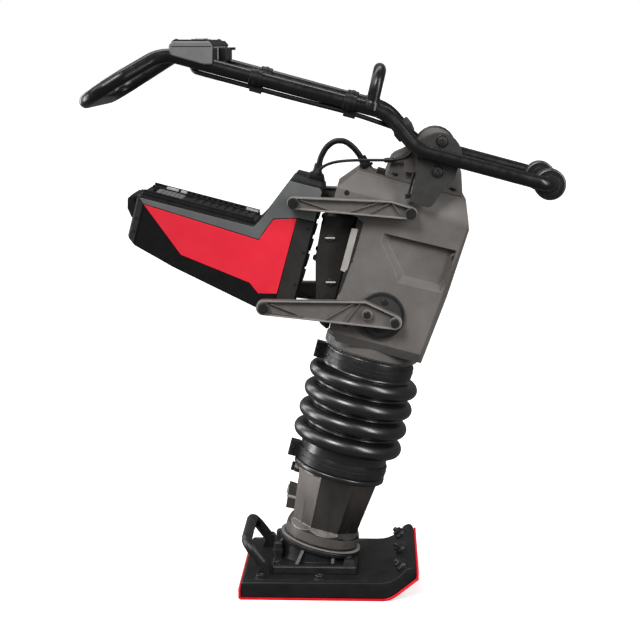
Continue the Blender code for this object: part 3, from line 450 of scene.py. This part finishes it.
def build_foot():
    dress(SOLE_RED, "sole_plate", bevel=0.0008)
    dress(MATT, "shoe", bevel=0.0)
    dress(IRON, "shoe_handle", bevel=0.0)
    dress(IRON, "foot_casting", bevel=0.0009)
    dress(LEG_METAL, "leg_tube", bevel=0.0005)
    dress(STEEL_BLACK, "lower_clamp")
    dress(STEEL, "spring_lower", "spring_upper", bevel=0.0)
    slope = math.radians(-42)
    inward = Vector((-math.cos(slope), 0, -math.sin(slope)))
    studs = Piece(WORLD)
    for y in (-100, 0, 100):
        seat = Vector((124, y, 95)) - inward * 60
        studs.turned([(0, -2), (13, -2), (13, 4), (11.5, 5.5), (0, 5.5)], 30, aim(seat, inward))
        studs.bolt(seat + inward * 5.2, inward, 9.6, True, 5.5)
    studs.done("front_studs", STEEL_BLACK, "foot", "black_steel", 0.0003,
               ["front_bolt_1", "front_bolt_2", "front_bolt_3"])
    edge = Piece(WORLD)
    for x in (-95, 15):
        for y in (-119, 119):
            edge.bolt((x, y, 35.2), (0, 0, 1), 8.6)
    edge.done("shoe_bolts", STEEL_BLACK, "foot", "black_steel", 0.0003,
              [f"edge_bolt_{n}" for n in range(1, 5)])
    trim = Piece(WORLD)
    for side in (-1, 1):
        trim.box((-122, side * 128 - 5, 34.6), (104, side * 128 + 5, 36.0), taper=(0.99, 0.6))
        for x in (-66, 74):
            trim.bolt((x, side * 80, 50.2), (0, 0, 1), 7.0)
        trim.box((58, side * 76 - 11, 50), (80, side * 76 + 11, 60), taper=(0.8, 0.8))
        trim.bolt((69, side * 76, 59.5), (0, 0, 1), 6.0)
        trim.turned([(0, 36), (9, 36), (9, 78), (7, 82), (0, 82)], 20,
                    Matrix.Translation((-66, side * 40, 0)))
        trim.turned([(0, 60), (11, 60), (11, 69), (0, 69)], 20, Matrix.Translation((-66, side * 40, 0)))
    trim.done("foot_fittings", IRON, "foot", "foot_iron", 0.0006)
    # A thin ring in the lighter edge grey round the flange's rim: a painted highlight line.
    flange = Piece()
    flange.turned([(70, 80.0), (77.9, 80.0), (78.1, 80.3), (78.1, 80.9), (77.7, 81.3), (70, 81.3)], 96,
                  ring=True)
    flange.done("foot_flange_highlight", EDGE_HIGHLIGHT, "foot", "foot_iron", 0.0)
    band = Piece()
    band.turned([(70.3, 101.8), (70.3, 85.0), (71.1, 85.6), (71.1, 101.2)], 96, ring=True)
    band.done("leg_base_band", LEG_BAND, "foot", "cast_bronze", 0.0)
    # Two black rings, above and below the flange's rim, stand in for the shaded groove and the dark line
    # there: painted shade.
    ring = Piece()
    ring.turned([(66, 81.4), (71.6, 81.4), (71.6, 84.2), (66, 84.2)], 96, ring=True)
    ring.turned([(66, 70.0), (78.9, 70.0), (78.9, 74.0), (66, 74.0)], 96, ring=True)
    ring.done("foot_groove_shade", PLASTIC, "foot", "foot_iron", 0.0004)
    lines = Piece()
    for number in range(LEG_SIDES):
        turn = Matrix.Rotation(math.radians(360 / LEG_SIDES * number), 4, "Z")
        out = turn @ Matrix.Translation((62.05, 0, 118)) @ Matrix.Rotation(math.radians(6.45), 4, "Y")
        lines.box((0.0, -0.7, 0), (0.9, 0.7, 92), out)
        lines.turned([(0, -1), (2.1, -1), (2.1, 0.7), (1.6, 1.0), (0, 1.0)], 16,
                     turn @ aim((62.0, 0, 115), (1, 0, -0.2)))
    lines.done("leg_seams", DARK_CAST, "foot", "cast_bronze", 0.0)
    fit = Piece()
    fit.box((-83.5, -14.2, 146), (-55, 14.2, 151))
    fit.box((-86.5, -9, 152), (-80, 9, 166), taper=(0.9, 0.8))
    fit.done("sight_block_band", PALE_CAST, "foot", "cast_bronze", 0.0005)
    plug = Piece()
    plug.turned([(0, -3), (9.2, -3), (9.2, 2.2), (7.6, 3.2), (0, 3.2)], 6, aim((-86.4, 0, 204.5), (-1, 0, 0)))
    plug.done("leg_plug_cap", STEEL_BLACK, "foot", "black_steel", 0.0004)


def build_clamp_details():
    for body, low, high, tag in CLAMPS:
        band = Piece()
        middle = (low + high) / 2
        band.turned([(85.6, low + 3), (86.9, low + 3), (86.9, high - 3), (85.6, high - 3)], 30,
                    whole=300, start=-150)
        band.turned([(85.6, middle - 1.2), (87.4, middle - 1.2), (87.4, middle + 1.2),
                     (85.6, middle + 1.2)], 90, ring=True)
        for side in (-1, 1):
            band.box((-101.5, side * 15 - 1.4, low), (-84, side * 15 + 1.4, high + 1))
        for z in (middle - 6.2, middle + 6.2):
            band.turned([(0, -18), (2.8, -18), (2.8, 17), (0, 17)], 16, aim((-96.5, 0, z), (0, 1, 0)))
            band.bolt((-96.5, -17, z), (0, -1, 0), 4.6, False)
        band.done(f"{tag}_clamp_band", STEEL_BLACK, body, "black_steel", 0.0003)
        strap = Piece()
        strap.box((-101.9, -9.5, low + 5), (-86, 9.5, low + 9))
        strap.box((-101.9, -9.5, high - 9), (-86, 9.5, high - 5))
        strap.done(f"{tag}_clamp_strap", PALE_CAST, body, "steel", 0.0004)


def build_bellows():
    """The rubber bellows, a turned skin between the leg and the machine."""
    low = FIRST_RING
    top = low + RING_PITCH * (RING_COUNT - 1)
    profile = [(79.4, 452), (83.2, 452), (83.9, 450.5)]
    profile += [(83.4, 424), (82.9, top + 18.5), (83.6, top + 16.0), (85.6, top + 14.4)]
    for ring in range(RING_COUNT):
        height = top - RING_PITCH * ring
        profile += arc((89.9, height), 14.6, 84, -84, 16)
        if ring < RING_COUNT - 1:
            profile += arc((87.2, height - RING_PITCH / 2), 4.6, 118, 242, 8)
    profile += [(85.6, low - 14.4), (83.6, low - 16.0), (82.9, low - 18.5), (83.2, 254), (83.2, 228),
                (86.2, 226.4), (87.2, 224.6), (87.2, 219.2), (85.6, 217.4), (79.4, 217.2)]
    inner = [(79.4, low - 15), (80.2, low + 19.5), (80.2, top - 19.5), (79.4, top + 15)]
    skin = Piece()
    skin.turned(profile + inner, 96, ring=True)
    obj = skin.done("bellows_skin", RUBBER, None, "rubber", 0.0, ["bellows"])
    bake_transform(obj)


# ---------------------------------------------------------------- machine


def build_machine():
    dress(CAST, "crankcase", "crankcase_cover", bevel=0.0012)
    dress(CAST, "handle_support", bevel=0.0)
    dress(HOUSING, "motor_housing", bevel=0.0)
    dress(RUBBER, "rubber_mount_left", "rubber_mount_right")
    dress(STEEL_BLACK, "upper_clamp")
    dress(STEEL, "guide_cylinder", "crank_bearing", "connecting_rod", "piston", "crank_gear", "motor_rotor",
          bevel=0.0002)
    dress(COPPER, "motor_stator", bevel=0.0002)
    bolts = Piece()
    bosses = Piece()
    pale = Piece()
    dark = Piece()
    for side in (-1, 1):
        for x, z in ((95, 753), (98.5, 679), (91.5, 588), (84, 500)):
            bosses.turned([(0, 0), (7.2, 0), (7.2, 11.5), (6.2, 12.6), (0, 12.6)], 24,
                          aim((x - 1, side * CASE_SIDE, z), (0, side, 0)))
            bolts.screw((x - 1, side * 92, z), (0, side, 0), 4.6)
        bolts.screw((-119, side * 96, 744), (0, side, 0), 5.2)
        bolts.screw((-62, side * 99, 512), (0, side, 0), 4.6)
        bolts.screw((-74, side * 99, 722), (0, side, 0), 4.6)
        pale.slab([(-95, 606), (-87, 604), (-83, 612), (-83, 686), (-94.5, 684)],
                  *sorted((side * 92, side * 102)))
        dark.slab([(-88.6, 560), (-85, 566), (-77.5, 640), (-76.5, 700), (-88.6, 704)],
                  *sorted((side * 99.6, side * 100.7)))
        for z in (628, 650, 672):
            dark.turned([(0, 0), (2.4, 0), (2.4, 2.2), (0, 2.2)], 14,
                        aim((-80, side * 100.5, z), (0, side, 0)))
        for x, z in ((-128, 655), (-106, 577)):
            dark.turned([(0, 0), (7.5, 0), (7.5, 2.6), (6.3, 3.4), (0, 3.4)], 24,
                        aim((x, side * 77.6, z), (0, side, 0)))
            pale.turned([(0, -9), (1.9, -9), (1.9, 9), (0, 9)], 14, aim((x, side * 82.2, z), (1, 0, 0.25)))
        for x, z in ((-147.5, 690), (-144, 612), (-112, 505)):
            dark.turned([(0, -5), (5.6, -5), (5.6, 5), (0, 5)], 20, aim((x, side * 66, z), (0, 1, 0)))
        for x0, z0, x1, z1 in ((-104, 694, -138, 690), (-104, 520, -124, 560)):
            dark.bar((x0, z0), (x1, z1), 3.0, *sorted((side * 77.8, side * 79.6)))
        bosses.slab([(-36, 838), (-30, 804), (-4, 808), (-4, 838), (-20, 846)],
                    *sorted((side * 61, side * 78)), shrink=3)
        bosses.slab([(-58, 786.2), (84, 786.2), (82, 793), (-56, 793)], *sorted((side * 50, side * 70)))
        for x in (-44, 66):
            bolts.bolt((x, side * 64, 793), (0, 0, 1), 5.4)
    for turn in range(6):
        angle = math.radians(60 * turn)
        bolts.screw((20 + 27 * math.cos(angle), -84.6, 853 + 27 * math.sin(angle)), (0, -1, 0), 2.6, 1.4)
    dark.box((-76, -26, 785.8), (-60, 26, 794.5), taper=(0.8, 0.9))
    bosses.turned([(87.3, 459), (89.2, 460), (89.2, 476), (87.3, 478)], 72, ring=True)
    for number in range(12):
        turn = Matrix.Rotation(math.radians(15 + 30 * number), 4, "Z")
        bosses.box((78, -2.2, 424), (80.6, 2.2, 456), turn)
    bolts.done("case_bolts", STEEL_BLACK, "machine", "black_steel", 0.0003)
    bosses.done("case_bosses", CAST, "machine", "cast_bronze", 0.0006)
    pale.done("case_strips", PALE_CAST, "machine", "steel", 0.0004)
    dark.done("motor_fittings", HOUSING, "machine", "black_plastic", 0.0005)
    gland = Piece()
    aimed = aim((-97, 0, 791), (-0.62, 0, 0.78))
    gland.turned([(0, -2), (14, -2), (14, 3), (0, 3)], 6, aimed)
    gland.turned([(5.6, 2), (10.5, 2), (10.5, 6), (8.6, 9), (7.4, 20), (5.6, 20)], 28, aimed, ring=True)
    gland.done("case_cable_gland", PLASTIC, "machine", "black_plastic", 0.0003)


def build_links():
    upper_front, upper_rear = (0.7, 739.6), (-207.1, 704.6)
    lower_front, lower_rear = (-2.6, 544.6), (-212.2, 508.0)
    lower_bolt, lower_boss = (23.8, 542.1), (-28.3, 543.5)
    upper = hull(arc(upper_front, 11, 0, 360, 40) + arc(upper_rear, 11, 0, 360, 40) + [(-40, 752)])
    lower = hull(arc(lower_bolt, 12.5, 0, 360, 40) + arc(lower_rear, 13.5, 0, 360, 40) + [(-37, 566)])
    upper_web = [((-197, 713), (-135, 708)), ((-182, 699), (-135, 708)), ((-112, 711), (-60, 744)),
                 ((-76, 717), (-38, 750)), ((-38, 750), (-14, 730))]
    lower_web = [((-202, 518), (-140, 510)), ((-196, 502), (-140, 510)), ((-102, 513), (-52, 562)),
                 ((-64, 518), (-44, 564))]
    for side, name in ((-1, "right"), (1, "left")):
        for tag, outline, web, ends, body in (
            ("upper", upper, upper_web, (upper_front, upper_rear), "upper_links"),
            ("lower", lower, lower_web, (lower_bolt, lower_rear, lower_boss), "lower_links"),
        ):
            link = Piece()
            low, high = sorted((side * LINK_INNER, side * LINK_OUTER))
            link.slab(outline, *sorted((side * 113.5, side * 121.5)))
            for start, end in web:
                link.bar(start, end, 1.8, *sorted((side * 110.5, side * 127.0)))
            for x, z in ends:
                link.turned([(0, LINK_INNER), (10.2, LINK_INNER), (10.2, 130.2), (9.2, 131.0), (0, 131.0)],
                            36, aim((x, 0, z), (0, side, 0)))
            link.done(f"{tag}_link_{name}_truss", LINK, body, "cast_bronze", 0.0004, [f"{tag}_link_{name}"])
            # The raised rim is real shape; its lighter grey is a painted highlight along the lit edges.
            rim = Piece()
            rim.rim(outline, 3.0, low, high)
            rim.done(f"{tag}_link_{name}_rim", EDGE_HIGHLIGHT, body, "cast_bronze", 0.0005)
        pins = Piece()
        pins.screw((lower_boss[0], side * 131, lower_boss[1]), (0, side, 0), 6.4, 2.6)
        pins.screw((lower_bolt[0], side * 131, lower_bolt[1]), (0, side, 0), 8.0, 3.0)
        pins.done(f"lower_link_{name}_pins", STEEL_BLACK, "lower_links", "black_steel", 0.0002)
        for point, body, tag in ((upper_front, "machine", "front"), (upper_rear, "power_pack", "rear"),
                                 (lower_rear, "power_pack", "low")):
            cap = Piece()
            cap.turned([(0, 131.2), (9.9, 131.2), (9.9, 136.6), (8.9, 137.5), (0, 137.5)], 36,
                       aim((point[0], 0, point[1]), (0, side, 0)))
            cap.turned([(5.0, 137.4), (6.0, 137.4), (6.0, 138.3), (5.0, 138.3)], 6,
                       aim((point[0], 0, point[1]), (0, side, 0)), ring=True)
            cap.done(f"pivot_cap_{tag}_{name}", STEEL_BLACK, body, "black_steel", 0.0002)
        disc = Piece()
        x, z = lower_front
        for angle in (90, 270):
            at = (x + 26.5 * math.cos(math.radians(angle)), z + 26.5 * math.sin(math.radians(angle)))
            disc.screw((at[0], side * 107.4, at[1]), (0, side, 0), 5.6, 3.2)
        disc.turned([(36.0, 107.2), (41.5, 107.2), (41.5, 108.2), (36.0, 108.2)], 72,
                    aim((x, 0, z), (0, side, 0)), ring=True)
        disc.done(f"rocker_bolts_{name}", STEEL_BLACK, "lower_links", "black_steel", 0.0002)
    dress(DARK_CAST, "rocker_disc_left", "rocker_disc_right", bevel=0.0006)
    dress(STEEL_BLACK, "upper_shaft", "lower_shaft", bevel=0.0004)


def build_pack():
    dress(PACK_BLACK, "pack_housing", "cable_gland", bevel=0.0)
    dress(PANEL_RED, "side_panel_left", "side_panel_right", bevel=0.0007)
    dress(ALLOY, "motor_controller")
    dress(PLASTIC, "battery")
    dress(GREY, "battery_latch")
    for side, name in ((-1, "right"), (1, "left")):
        face, proud = side * PACK_SIDE, side * (PACK_SIDE + 2.8)
        low, high = sorted((face, proud))
        band = Piece()
        band.slab([(-470, 631.2), (-480, 640), (-266.5, 640.5), (-256, 658), (-223, 738), (-168, 738),
                   (-163, 733), (-163, 678), (-194, 676.5), (-235.6, 664.4), (-252.6, 621.3)], low, high)
        band.done(f"pack_band_{name}", BAND, "power_pack", "grey_plastic", 0.0008)
        column = Piece()
        column.slab([(-163, 676.5), (-163, 513), (-173, 500), (-194.6, 500), (-194.4, 675.2)], low, high)
        column.slab([(-481.5, 638), (-481.5, 566), (-470.5, 556), (-470.5, 630)], low, high)
        skirt = Piece()
        skirt.slab([(-391, 534.5), (-222, 499.5), (-196, 499.5), (-197.4, 531.6), (-228.5, 523.4),
                    (-249.5, 538.6), (-381, 556.4), (-466, 626), (-468, 555)],
                   *sorted((face, side * (PACK_SIDE + 1.8))))
        skirt.done(f"pack_skirt_{name}", PACK_BLACK, "power_pack", "black_plastic", 0.0008)
        column.done(f"pack_column_{name}", HOUSING, "power_pack", "black_plastic", 0.0008)
        bolts = Piece()
        for x, z in ((-170, 664), (-168, 620), (-168, 560), (-476, 604), (-476, 580)):
            bolts.screw((x, side * 91.8, z), (0, side, 0), 3.6, 1.8)
        bolts.done(f"pack_screws_{name}", STEEL_BLACK, "power_pack", "black_steel", 0.0002)
    top = Piece()
    for low, high in ((-86, -38), (21, 86)):
        top.box((-221, low, 740.5), (-165, high, 747), taper=(0.88, 0.92))
    top.box((-222, -80, 738), (-200, 80, 744), taper=(0.7, 0.95))
    for z in (560, 590, 620, 650, 680):
        top.box((-161, -60, z), (-156.5, 60, z + 9))
    top.done("pack_top_cap", PLASTIC, "power_pack", "black_plastic", 0.0010)
    rails = Piece()
    marks = Piece()
    for side in (-1, 1):
        y = side * 68
        rails.box((-478, y - 8, 645.5), (-268, y + 8, 650))
        rails.box((-476, y + side * 5 - 1.8, 649), (-270, y + side * 5 + 1.8, 655))
        for x, wide in ((-452, 24), (-424, 12), (-296, 16), (-280, 8)):
            marks.box((x, y - 6.5, 649.5), (x + wide, y + 4.5, 653.8), taper=(0.92, 0.9))
        for k in range(10):
            rails.box((-406 + 10.5 * k, y - 6, 649.5), (-400.5 + 10.5 * k, y + 4, 653.5), taper=(0.9, 0.9))
    for k in range(9):
        rails.box((-396 + 14 * k, -52, 645.5), (-388 + 14 * k, 52, 648.2))
    for side in (-1, 1):
        rails.box((-496, side * 54 - 5, 632), (-478, side * 54 + 5, 638))
    rails.box((-504, -30, 615), (-499, 30, 623))
    rails.done("battery_rails", PLASTIC, "battery", "black_plastic", 0.0006)
    marks.done("battery_contacts", PALE, "battery", "grey_plastic", 0.0004)
    latch = Piece()
    for k in range(5):
        latch.box((-455 + 8 * k, -38, 648.6), (-451.5 + 8 * k, 38, 650.2))
    latch.done("latch_ribs", GREY, "latch", "grey_plastic", 0.0003)
    collar = Piece(WORLD)
    aimed = aim((5.4, 0, 775), (0.18, 0, 1))
    collar.turned([(0, -3), (12.5, -3), (12.5, 2), (0, 2)], 6, aimed)
    collar.turned([(5.6, 1), (10, 1), (10, 4), (8.4, 7), (7.2, 20), (5.6, 20)], 28, aimed, ring=True)
    aimed = aim((9.3, -24, 777), (0.2, -0.04, 1))
    collar.turned([(2.8, -3), (6.4, -3), (6.4, 3), (4.4, 5), (3.8, 11), (2.8, 11)], 24, aimed, ring=True)
    collar.done("pack_cable_collars", PLASTIC, "power_pack", "black_plastic", 0.0003)


# ---------------------------------------------------------------- handle

RAIL_CORNERS = [
    ((-398.0, -172.0, 913.0), 45), ((-331.0, -165.0, 955.0), 50), (tuple(RAIL_REAR), 60),
    (tuple(RAIL_FRONT), 75), ((187.6, -137.5, 829.5), 60), ((ROLLER_X, -137.5, ROLLER_Z), 25),
]


def build_handle():
    corners = RAIL_CORNERS + [((x, -y, z), radius) for (x, y, z), radius in reversed(RAIL_CORNERS)]
    Piece(WORLD).tube(bent(corners, True, 14), TUBE_RADIUS, 28, True).done(
        "handle_tube", TUBE, "handle", "tube_black", 0.0, ["handle_frame"])
    foot, head = (105.5, 900.5), (120.5, 966.5)
    reach = -RAIL_FRONT.y
    hoop = [((foot[0], -reach, foot[1]), 0), ((head[0], -reach, head[1]), 34),
            ((head[0], reach, head[1]), 34), ((foot[0], reach, foot[1]), 0)]
    bail = Piece(WORLD).tube(bent(hoop, False, 14), 11.5, 28)
    for side in (-1, 1):
        bail.turned([(0, 0), (15.5, 0), (15.2, 12), (13.2, 16), (0, 16)], 28,
                    aim((foot[0] - 0.4, side * reach, foot[1] - 2),
                        (head[0] - foot[0], 0, head[1] - foot[1])))
    bail.done("lifting_hoop", TUBE, "handle", "tube_black", 0.0004, ["lifting_bail"])
    dress(STEEL_BLACK, "cross_brace", bevel=0.0)
    dress(DARK_CAST, "handle_plate_left", "handle_plate_right", bevel=0.0009)
    along = Vector((RAIL_FRONT.x - RAIL_REAR.x, 0, RAIL_FRONT.z - RAIL_REAR.z)).normalized()
    clips = Piece(WORLD)
    for side in (-1, 1):
        for x in (-97, 68):
            at = RAIL_REAR.lerp(RAIL_FRONT, (x - RAIL_REAR.x) / (RAIL_FRONT.x - RAIL_REAR.x))
            at.y *= -side
            frame_at = aim(at, along)
            clips.turned([(12.4, -11), (14.6, -11), (15.2, -10), (15.2, 10), (14.6, 11), (12.4, 11)], 36,
                         frame_at, ring=True)
            clips.turned([(12.4, -3), (16.4, -3), (16.4, 3), (12.4, 3)], 36, frame_at, ring=True)
            if side < 0:
                clips.box((-7.5, -6.5, -11), (7.5, 6.5, 11), aim(at + Vector((0, 3, -18)), along))
    clips.done("cable_clips", PLASTIC, "handle", "black_plastic", 0.0005)
    bolts = Piece(WORLD)
    for side in (-1, 1):
        for point in ((21, 0, 877), (27, 0, 823)):
            x, _, z = LEG @ Vector(point) * 1000
            bolts.turned([(9.2, 124), (11.4, 124), (11.4, 125.6), (10.6, 126.2), (9.6, 126.2),
                          (9.2, 125)], 36, aim((x, 0, z), (0, side, 0)), ring=True)
            bolts.bolt((x, side * 128.2, z), (0, side, 0), 5.4, False)
        pin_low, pin_high = LEG @ Vector((-12, 0, 770)) * 1000, LEG @ Vector((-13, 0, 812)) * 1000
        bolts.tube([(pin_low.x, side * 115.5, pin_low.z), (pin_high.x, side * 115.5, pin_high.z)],
                   2.4, 14)
        bolts.box((pin_low.x - 6, side * 114 - 5, pin_low.z - 7),
                  (pin_low.x + 6, side * 114 + 5, pin_low.z + 1))
    bolts.done("plate_bolts", STEEL_BLACK, "handle", "black_steel", 0.0003)


def build_console():
    dress(GREY, "console_housing", bevel=0.0008)
    dress(PALE, "power_button", bevel=0.0006)
    dress(PLASTIC, "throttle_lever", bevel=0.0004)
    lid = Piece(WORLD)
    for low, high in ((-142, -16), (16, 142)):
        lid.slab([(-244, 1016.5), (-239, 1020.8), (-184, 1020.8), (-178, 1016.5)], low, high)
    for low, high in ((-222, -218.4), (-193.6, -190)):
        lid.box((low, -15.6, 1016.5), (high, 15.6, 1021.4))
    for side in (-1, 1):
        lid.box((-218.2, side * 14.6 - 1.2, 1016.5), (-194, side * 14.6 + 1.2, 1021.4))
        for x in (-236, -186):
            lid.screw((x, side * 128, 1020.4), (0, 0, 1), 3.2, 1.4)
    lid.done("console_lid", PLASTIC, "handle", "black_plastic", 0.0008)
    seam = Piece(WORLD)
    for side in (-1, 1):
        seam.box((-243, side * CONSOLE_SIDE - 0.7, 1008), (-173, side * CONSOLE_SIDE + 0.7, 1009.4))
    seam.slab([(-178.5, 1016.5), (-172, 1008), (-169.8, 1008), (-169.8, 1011.6), (-176.4, 1018.8)], -143, 143)
    seam.box((-171.4, -141, 979), (-170.0, -72, 1005.6))
    seam.done("console_front_trim", PLASTIC, "handle", "black_plastic", 0.0004)
    switch = Piece(WORLD)
    switch.slab([(-171.5, 983), (-161, 982), (-157, 985), (-157, 1001), (-160, 1006), (-171.5, 1007)],
                -44, 80)
    switch.slab([(-171.5, 984), (-163, 984), (-163, 993), (-171.5, 993)], 86, 128)
    switch.done("switch_box", PLASTIC, "handle", "black_plastic", 0.0012)
    strips = Piece(WORLD)
    strips.box((-171.2, -122, 1006.2), (-169.2, 78, 1008.2))
    strips.box((-171.2, -69, 985), (-169.4, -52, 1006.4))
    strips.done("switch_trim", PALE_CAST, "handle", "steel", 0.0002)


def build_rollers():
    for side, name in ((-1, "right"), (1, "left")):
        at = aim((ROLLER_X, side * ROLLER_Y, ROLLER_Z), (0, 1, 0))
        tyre = Piece(WORLD)
        face = [(13.1, 15), (20.5, 15), (21.5, 13.6), (23.2, 13.6), (24, 15)]
        tread = arc((24.6, 11.6), 3.4, 80, 0, 5) + arc((24.6, -11.6), 3.4, 0, -80, 5)
        tyre.turned(face + tread + [(r, -z) for r, z in reversed(face)], 64, at, ring=True)
        tyre.done(f"roller_{name}_tyre", RUBBER, f"roller_{name}", "rubber", 0.0, [f"roller_{name}"])
        collars = Piece(WORLD)
        for edge in (-18.5, 18.5):
            collars.turned([(12.4, -2.4), (17, -2.4), (17, 2.4), (12.4, 2.4)], 32,
                           aim((ROLLER_X, side * ROLLER_Y + edge, ROLLER_Z), (0, 1, 0)), ring=True)
        collars.done(f"roller_{name}_collars", STEEL_BLACK, "handle", "black_steel", 0.0004)


# ---------------------------------------------------------------- cables

POWER_ROUTE = [
    (6.5, 0, 778.8), (8.5, 0, 788), (13, 0, 806), (22, 0, 823), (33, 0, 833), (41, 0, 836.5), (46, 0, 837),
    (50, 0, 837), (55, 0, 836.3), (63, 0, 832.5), (74, 0, 823.5), (84, 0, 811), (90, 0, 800.7),
    (93.7, 0, 794.5),
]
SIGNAL_ROUTE_PACK = [
    (9.9, -24, 779.2), (12, -24.5, 785), (22, -27, 793.5), (40, -33, 800), (64, -42, 803.5), (92, -53, 805.2),
    (118, -63, 806), (137, -69.5, 806.6),
]
SIGNAL_ROUTE_HANDLE = [
    (140, -70.4, 806.8), (154, -74, 808.5), (168, -78, 812.5), (177, -83.5, 821), (180, -91, 834),
    (176, -99, 847), (171, -103, 855), (168, -104, 858),
]
CONTROL_ROUTE = [
    (-214, -110.5, 983.5), (-211.5, -112, 974), (-206.5, -117, 966.4), (-197, -122, 962.7),
    (-160, -122.5, 952.8), (-105, -122.5, 938.2), (-50, -122.5, 923.6), (5, -122.5, 909.6),
    (60, -122.5, 895.6), (92, -122, 886), (111, -119.5, 879.5), (128, -113, 873.4),
    (144, -106.5, 867.6), (156, -104, 863.8), (165, -104, 859.5),
]


def build_cable(name, route, radius, replaced, bodies):
    """A cable along its route. One that runs between two bodies is attached to neither of them."""
    path = smooth_route(route, 2.5)
    cable = Piece(WORLD).tube(path, radius, 20)
    obj = cable.done(name, CABLE, bodies[0] if len(bodies) == 1 else None, "rubber", 0.0, replaced)
    if len(bodies) == 2:
        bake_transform(obj)


def build_cables():
    build_cable("power_cable", POWER_ROUTE, 5.5, ["power_cable_pack", "power_cable_case"],
                ("power_pack", "machine"))
    build_cable("signal_cable_rear", SIGNAL_ROUTE_PACK, 2.75, ["signal_cable_pack"],
                ("power_pack", "machine"))
    build_cable("signal_cable_front", SIGNAL_ROUTE_HANDLE, 2.75, ["signal_cable_handle"],
                ("machine", "handle"))
    build_cable("control_lead", CONTROL_ROUTE, 4.25, ["control_cable"], ("handle",))
    sleeve = Piece(WORLD)
    along = Vector(SIGNAL_ROUTE_HANDLE[0]) - Vector(SIGNAL_ROUTE_PACK[-1])
    middle = (Vector(SIGNAL_ROUTE_HANDLE[0]) + Vector(SIGNAL_ROUTE_PACK[-1])) / 2
    sleeve.turned([(0, -9), (3.6, -9), (4.6, -7.5), (4.6, 7.5), (3.6, 9), (0, 9)], 24, aim(middle, along))
    sleeve.done("signal_cable_sleeve", CABLE, "machine", "rubber", 0.0)


# ---------------------------------------------------------------- studio

CAMERA_PLACE = (0.12160, -3.03746, 1.01719)
CAMERA_AZIMUTH = 0.0363
CAMERA_ELEVATION = 0.1680
CAMERA_LENS = 92.34
FILL_LEVEL = 0.15
BACKDROP_LEVEL = 1.0
FLOOR_GLOW = 0.5


def area_light(name, location, target, size, power, height):
    data = bpy.data.lights.new(name, "AREA")
    data.shape = "RECTANGLE"
    data.size = size
    data.size_y = height
    data.energy = power
    light = bpy.data.objects.new(name, data)
    light.location = location
    light.rotation_mode = "QUATERNION"
    light.rotation_quaternion = (Vector(target) - Vector(location)).to_track_quat("-Z", "Y")
    bpy.context.scene.collection.objects.link(light)


def sun_light(name, toward, strength, spread):
    """A soft light from one direction, which is the way from the object to it."""
    data = bpy.data.lights.new(name, "SUN")
    data.energy = strength
    data.angle = math.radians(spread)
    light = bpy.data.objects.new(name, data)
    light.rotation_mode = "QUATERNION"
    light.rotation_quaternion = Vector(toward).to_track_quat("Z", "Y")
    bpy.context.scene.collection.objects.link(light)


def build_studio():
    scene = bpy.context.scene
    scene.view_settings.view_transform = "Standard"
    level_back = math.cos(CAMERA_ELEVATION)
    back = Vector((math.sin(CAMERA_AZIMUTH) * level_back, -math.cos(CAMERA_AZIMUTH) * level_back,
                   math.sin(CAMERA_ELEVATION)))
    data = bpy.data.cameras.new("camera")
    data.lens = CAMERA_LENS
    data.sensor_width = 36.0
    camera = bpy.data.objects.new("camera", data)
    camera.location = CAMERA_PLACE
    camera.rotation_mode = "QUATERNION"
    camera.rotation_quaternion = (-back).to_track_quat("-Z", "Y")
    scene.collection.objects.link(camera)
    scene.camera = camera
    world = bpy.data.worlds.new("studio")
    world.use_nodes = True
    nodes, links = world.node_tree.nodes, world.node_tree.links
    sky = nodes["Background"]
    sky.inputs["Color"].default_value = (1, 1, 1, 1)
    ray = nodes.new("ShaderNodeLightPath")
    level = nodes.new("ShaderNodeMapRange")
    level.inputs["To Min"].default_value = FILL_LEVEL
    level.inputs["To Max"].default_value = BACKDROP_LEVEL
    links.new(ray.outputs["Is Camera Ray"], level.inputs["Value"])
    links.new(level.outputs["Result"], sky.inputs["Strength"])
    scene.world = world
    floor = Piece(Matrix())
    floor.turned([(0, 0), (40, 0), (40, -0.02), (0, -0.02)], 96)
    white = surface("floor_white", (0.9, 0.9, 0.9), 0.9, 0.0, 0.01, 2, 40, 0.0, gloss=0.0)
    glow = white.node_tree.nodes["Principled BSDF"].inputs
    glow["Emission Color"].default_value = (1, 1, 1, 1)
    glow["Emission Strength"].default_value = FLOOR_GLOW
    ground = floor.done("studio_floor", white)
    ground.location.z = -0.0005
    ground.visible_diffuse = False
    ground.visible_glossy = False
    sun_light("key", (-0.40, -1.0, 0.95), 2.6, 24)
    sun_light("side", (-1.0, -0.30, 0.75), 0.9, 36)
    area_light("top_box", (-0.3, 0.6, 2.6), (0, 0, 0.6), 2.2, 22, 0.7)
    area_light("right_strip", (1.6, -1.3, 1.3), (0.1, 0, 0.4), 0.45, 34, 1.8)
    area_light("left_strip", (-1.7, 0.0, 0.55), (0, 0, 0.25), 0.5, 16, 1.0)
    area_light("rim", (-1.5, 1.2, 1.2), (0, 0, 0.6), 0.4, 12, 1.8)


build_studio()
build_foot()
build_clamp_details()
build_bellows()
build_machine()
build_links()
build_pack()
build_handle()
build_console()
build_rollers()
build_cables()
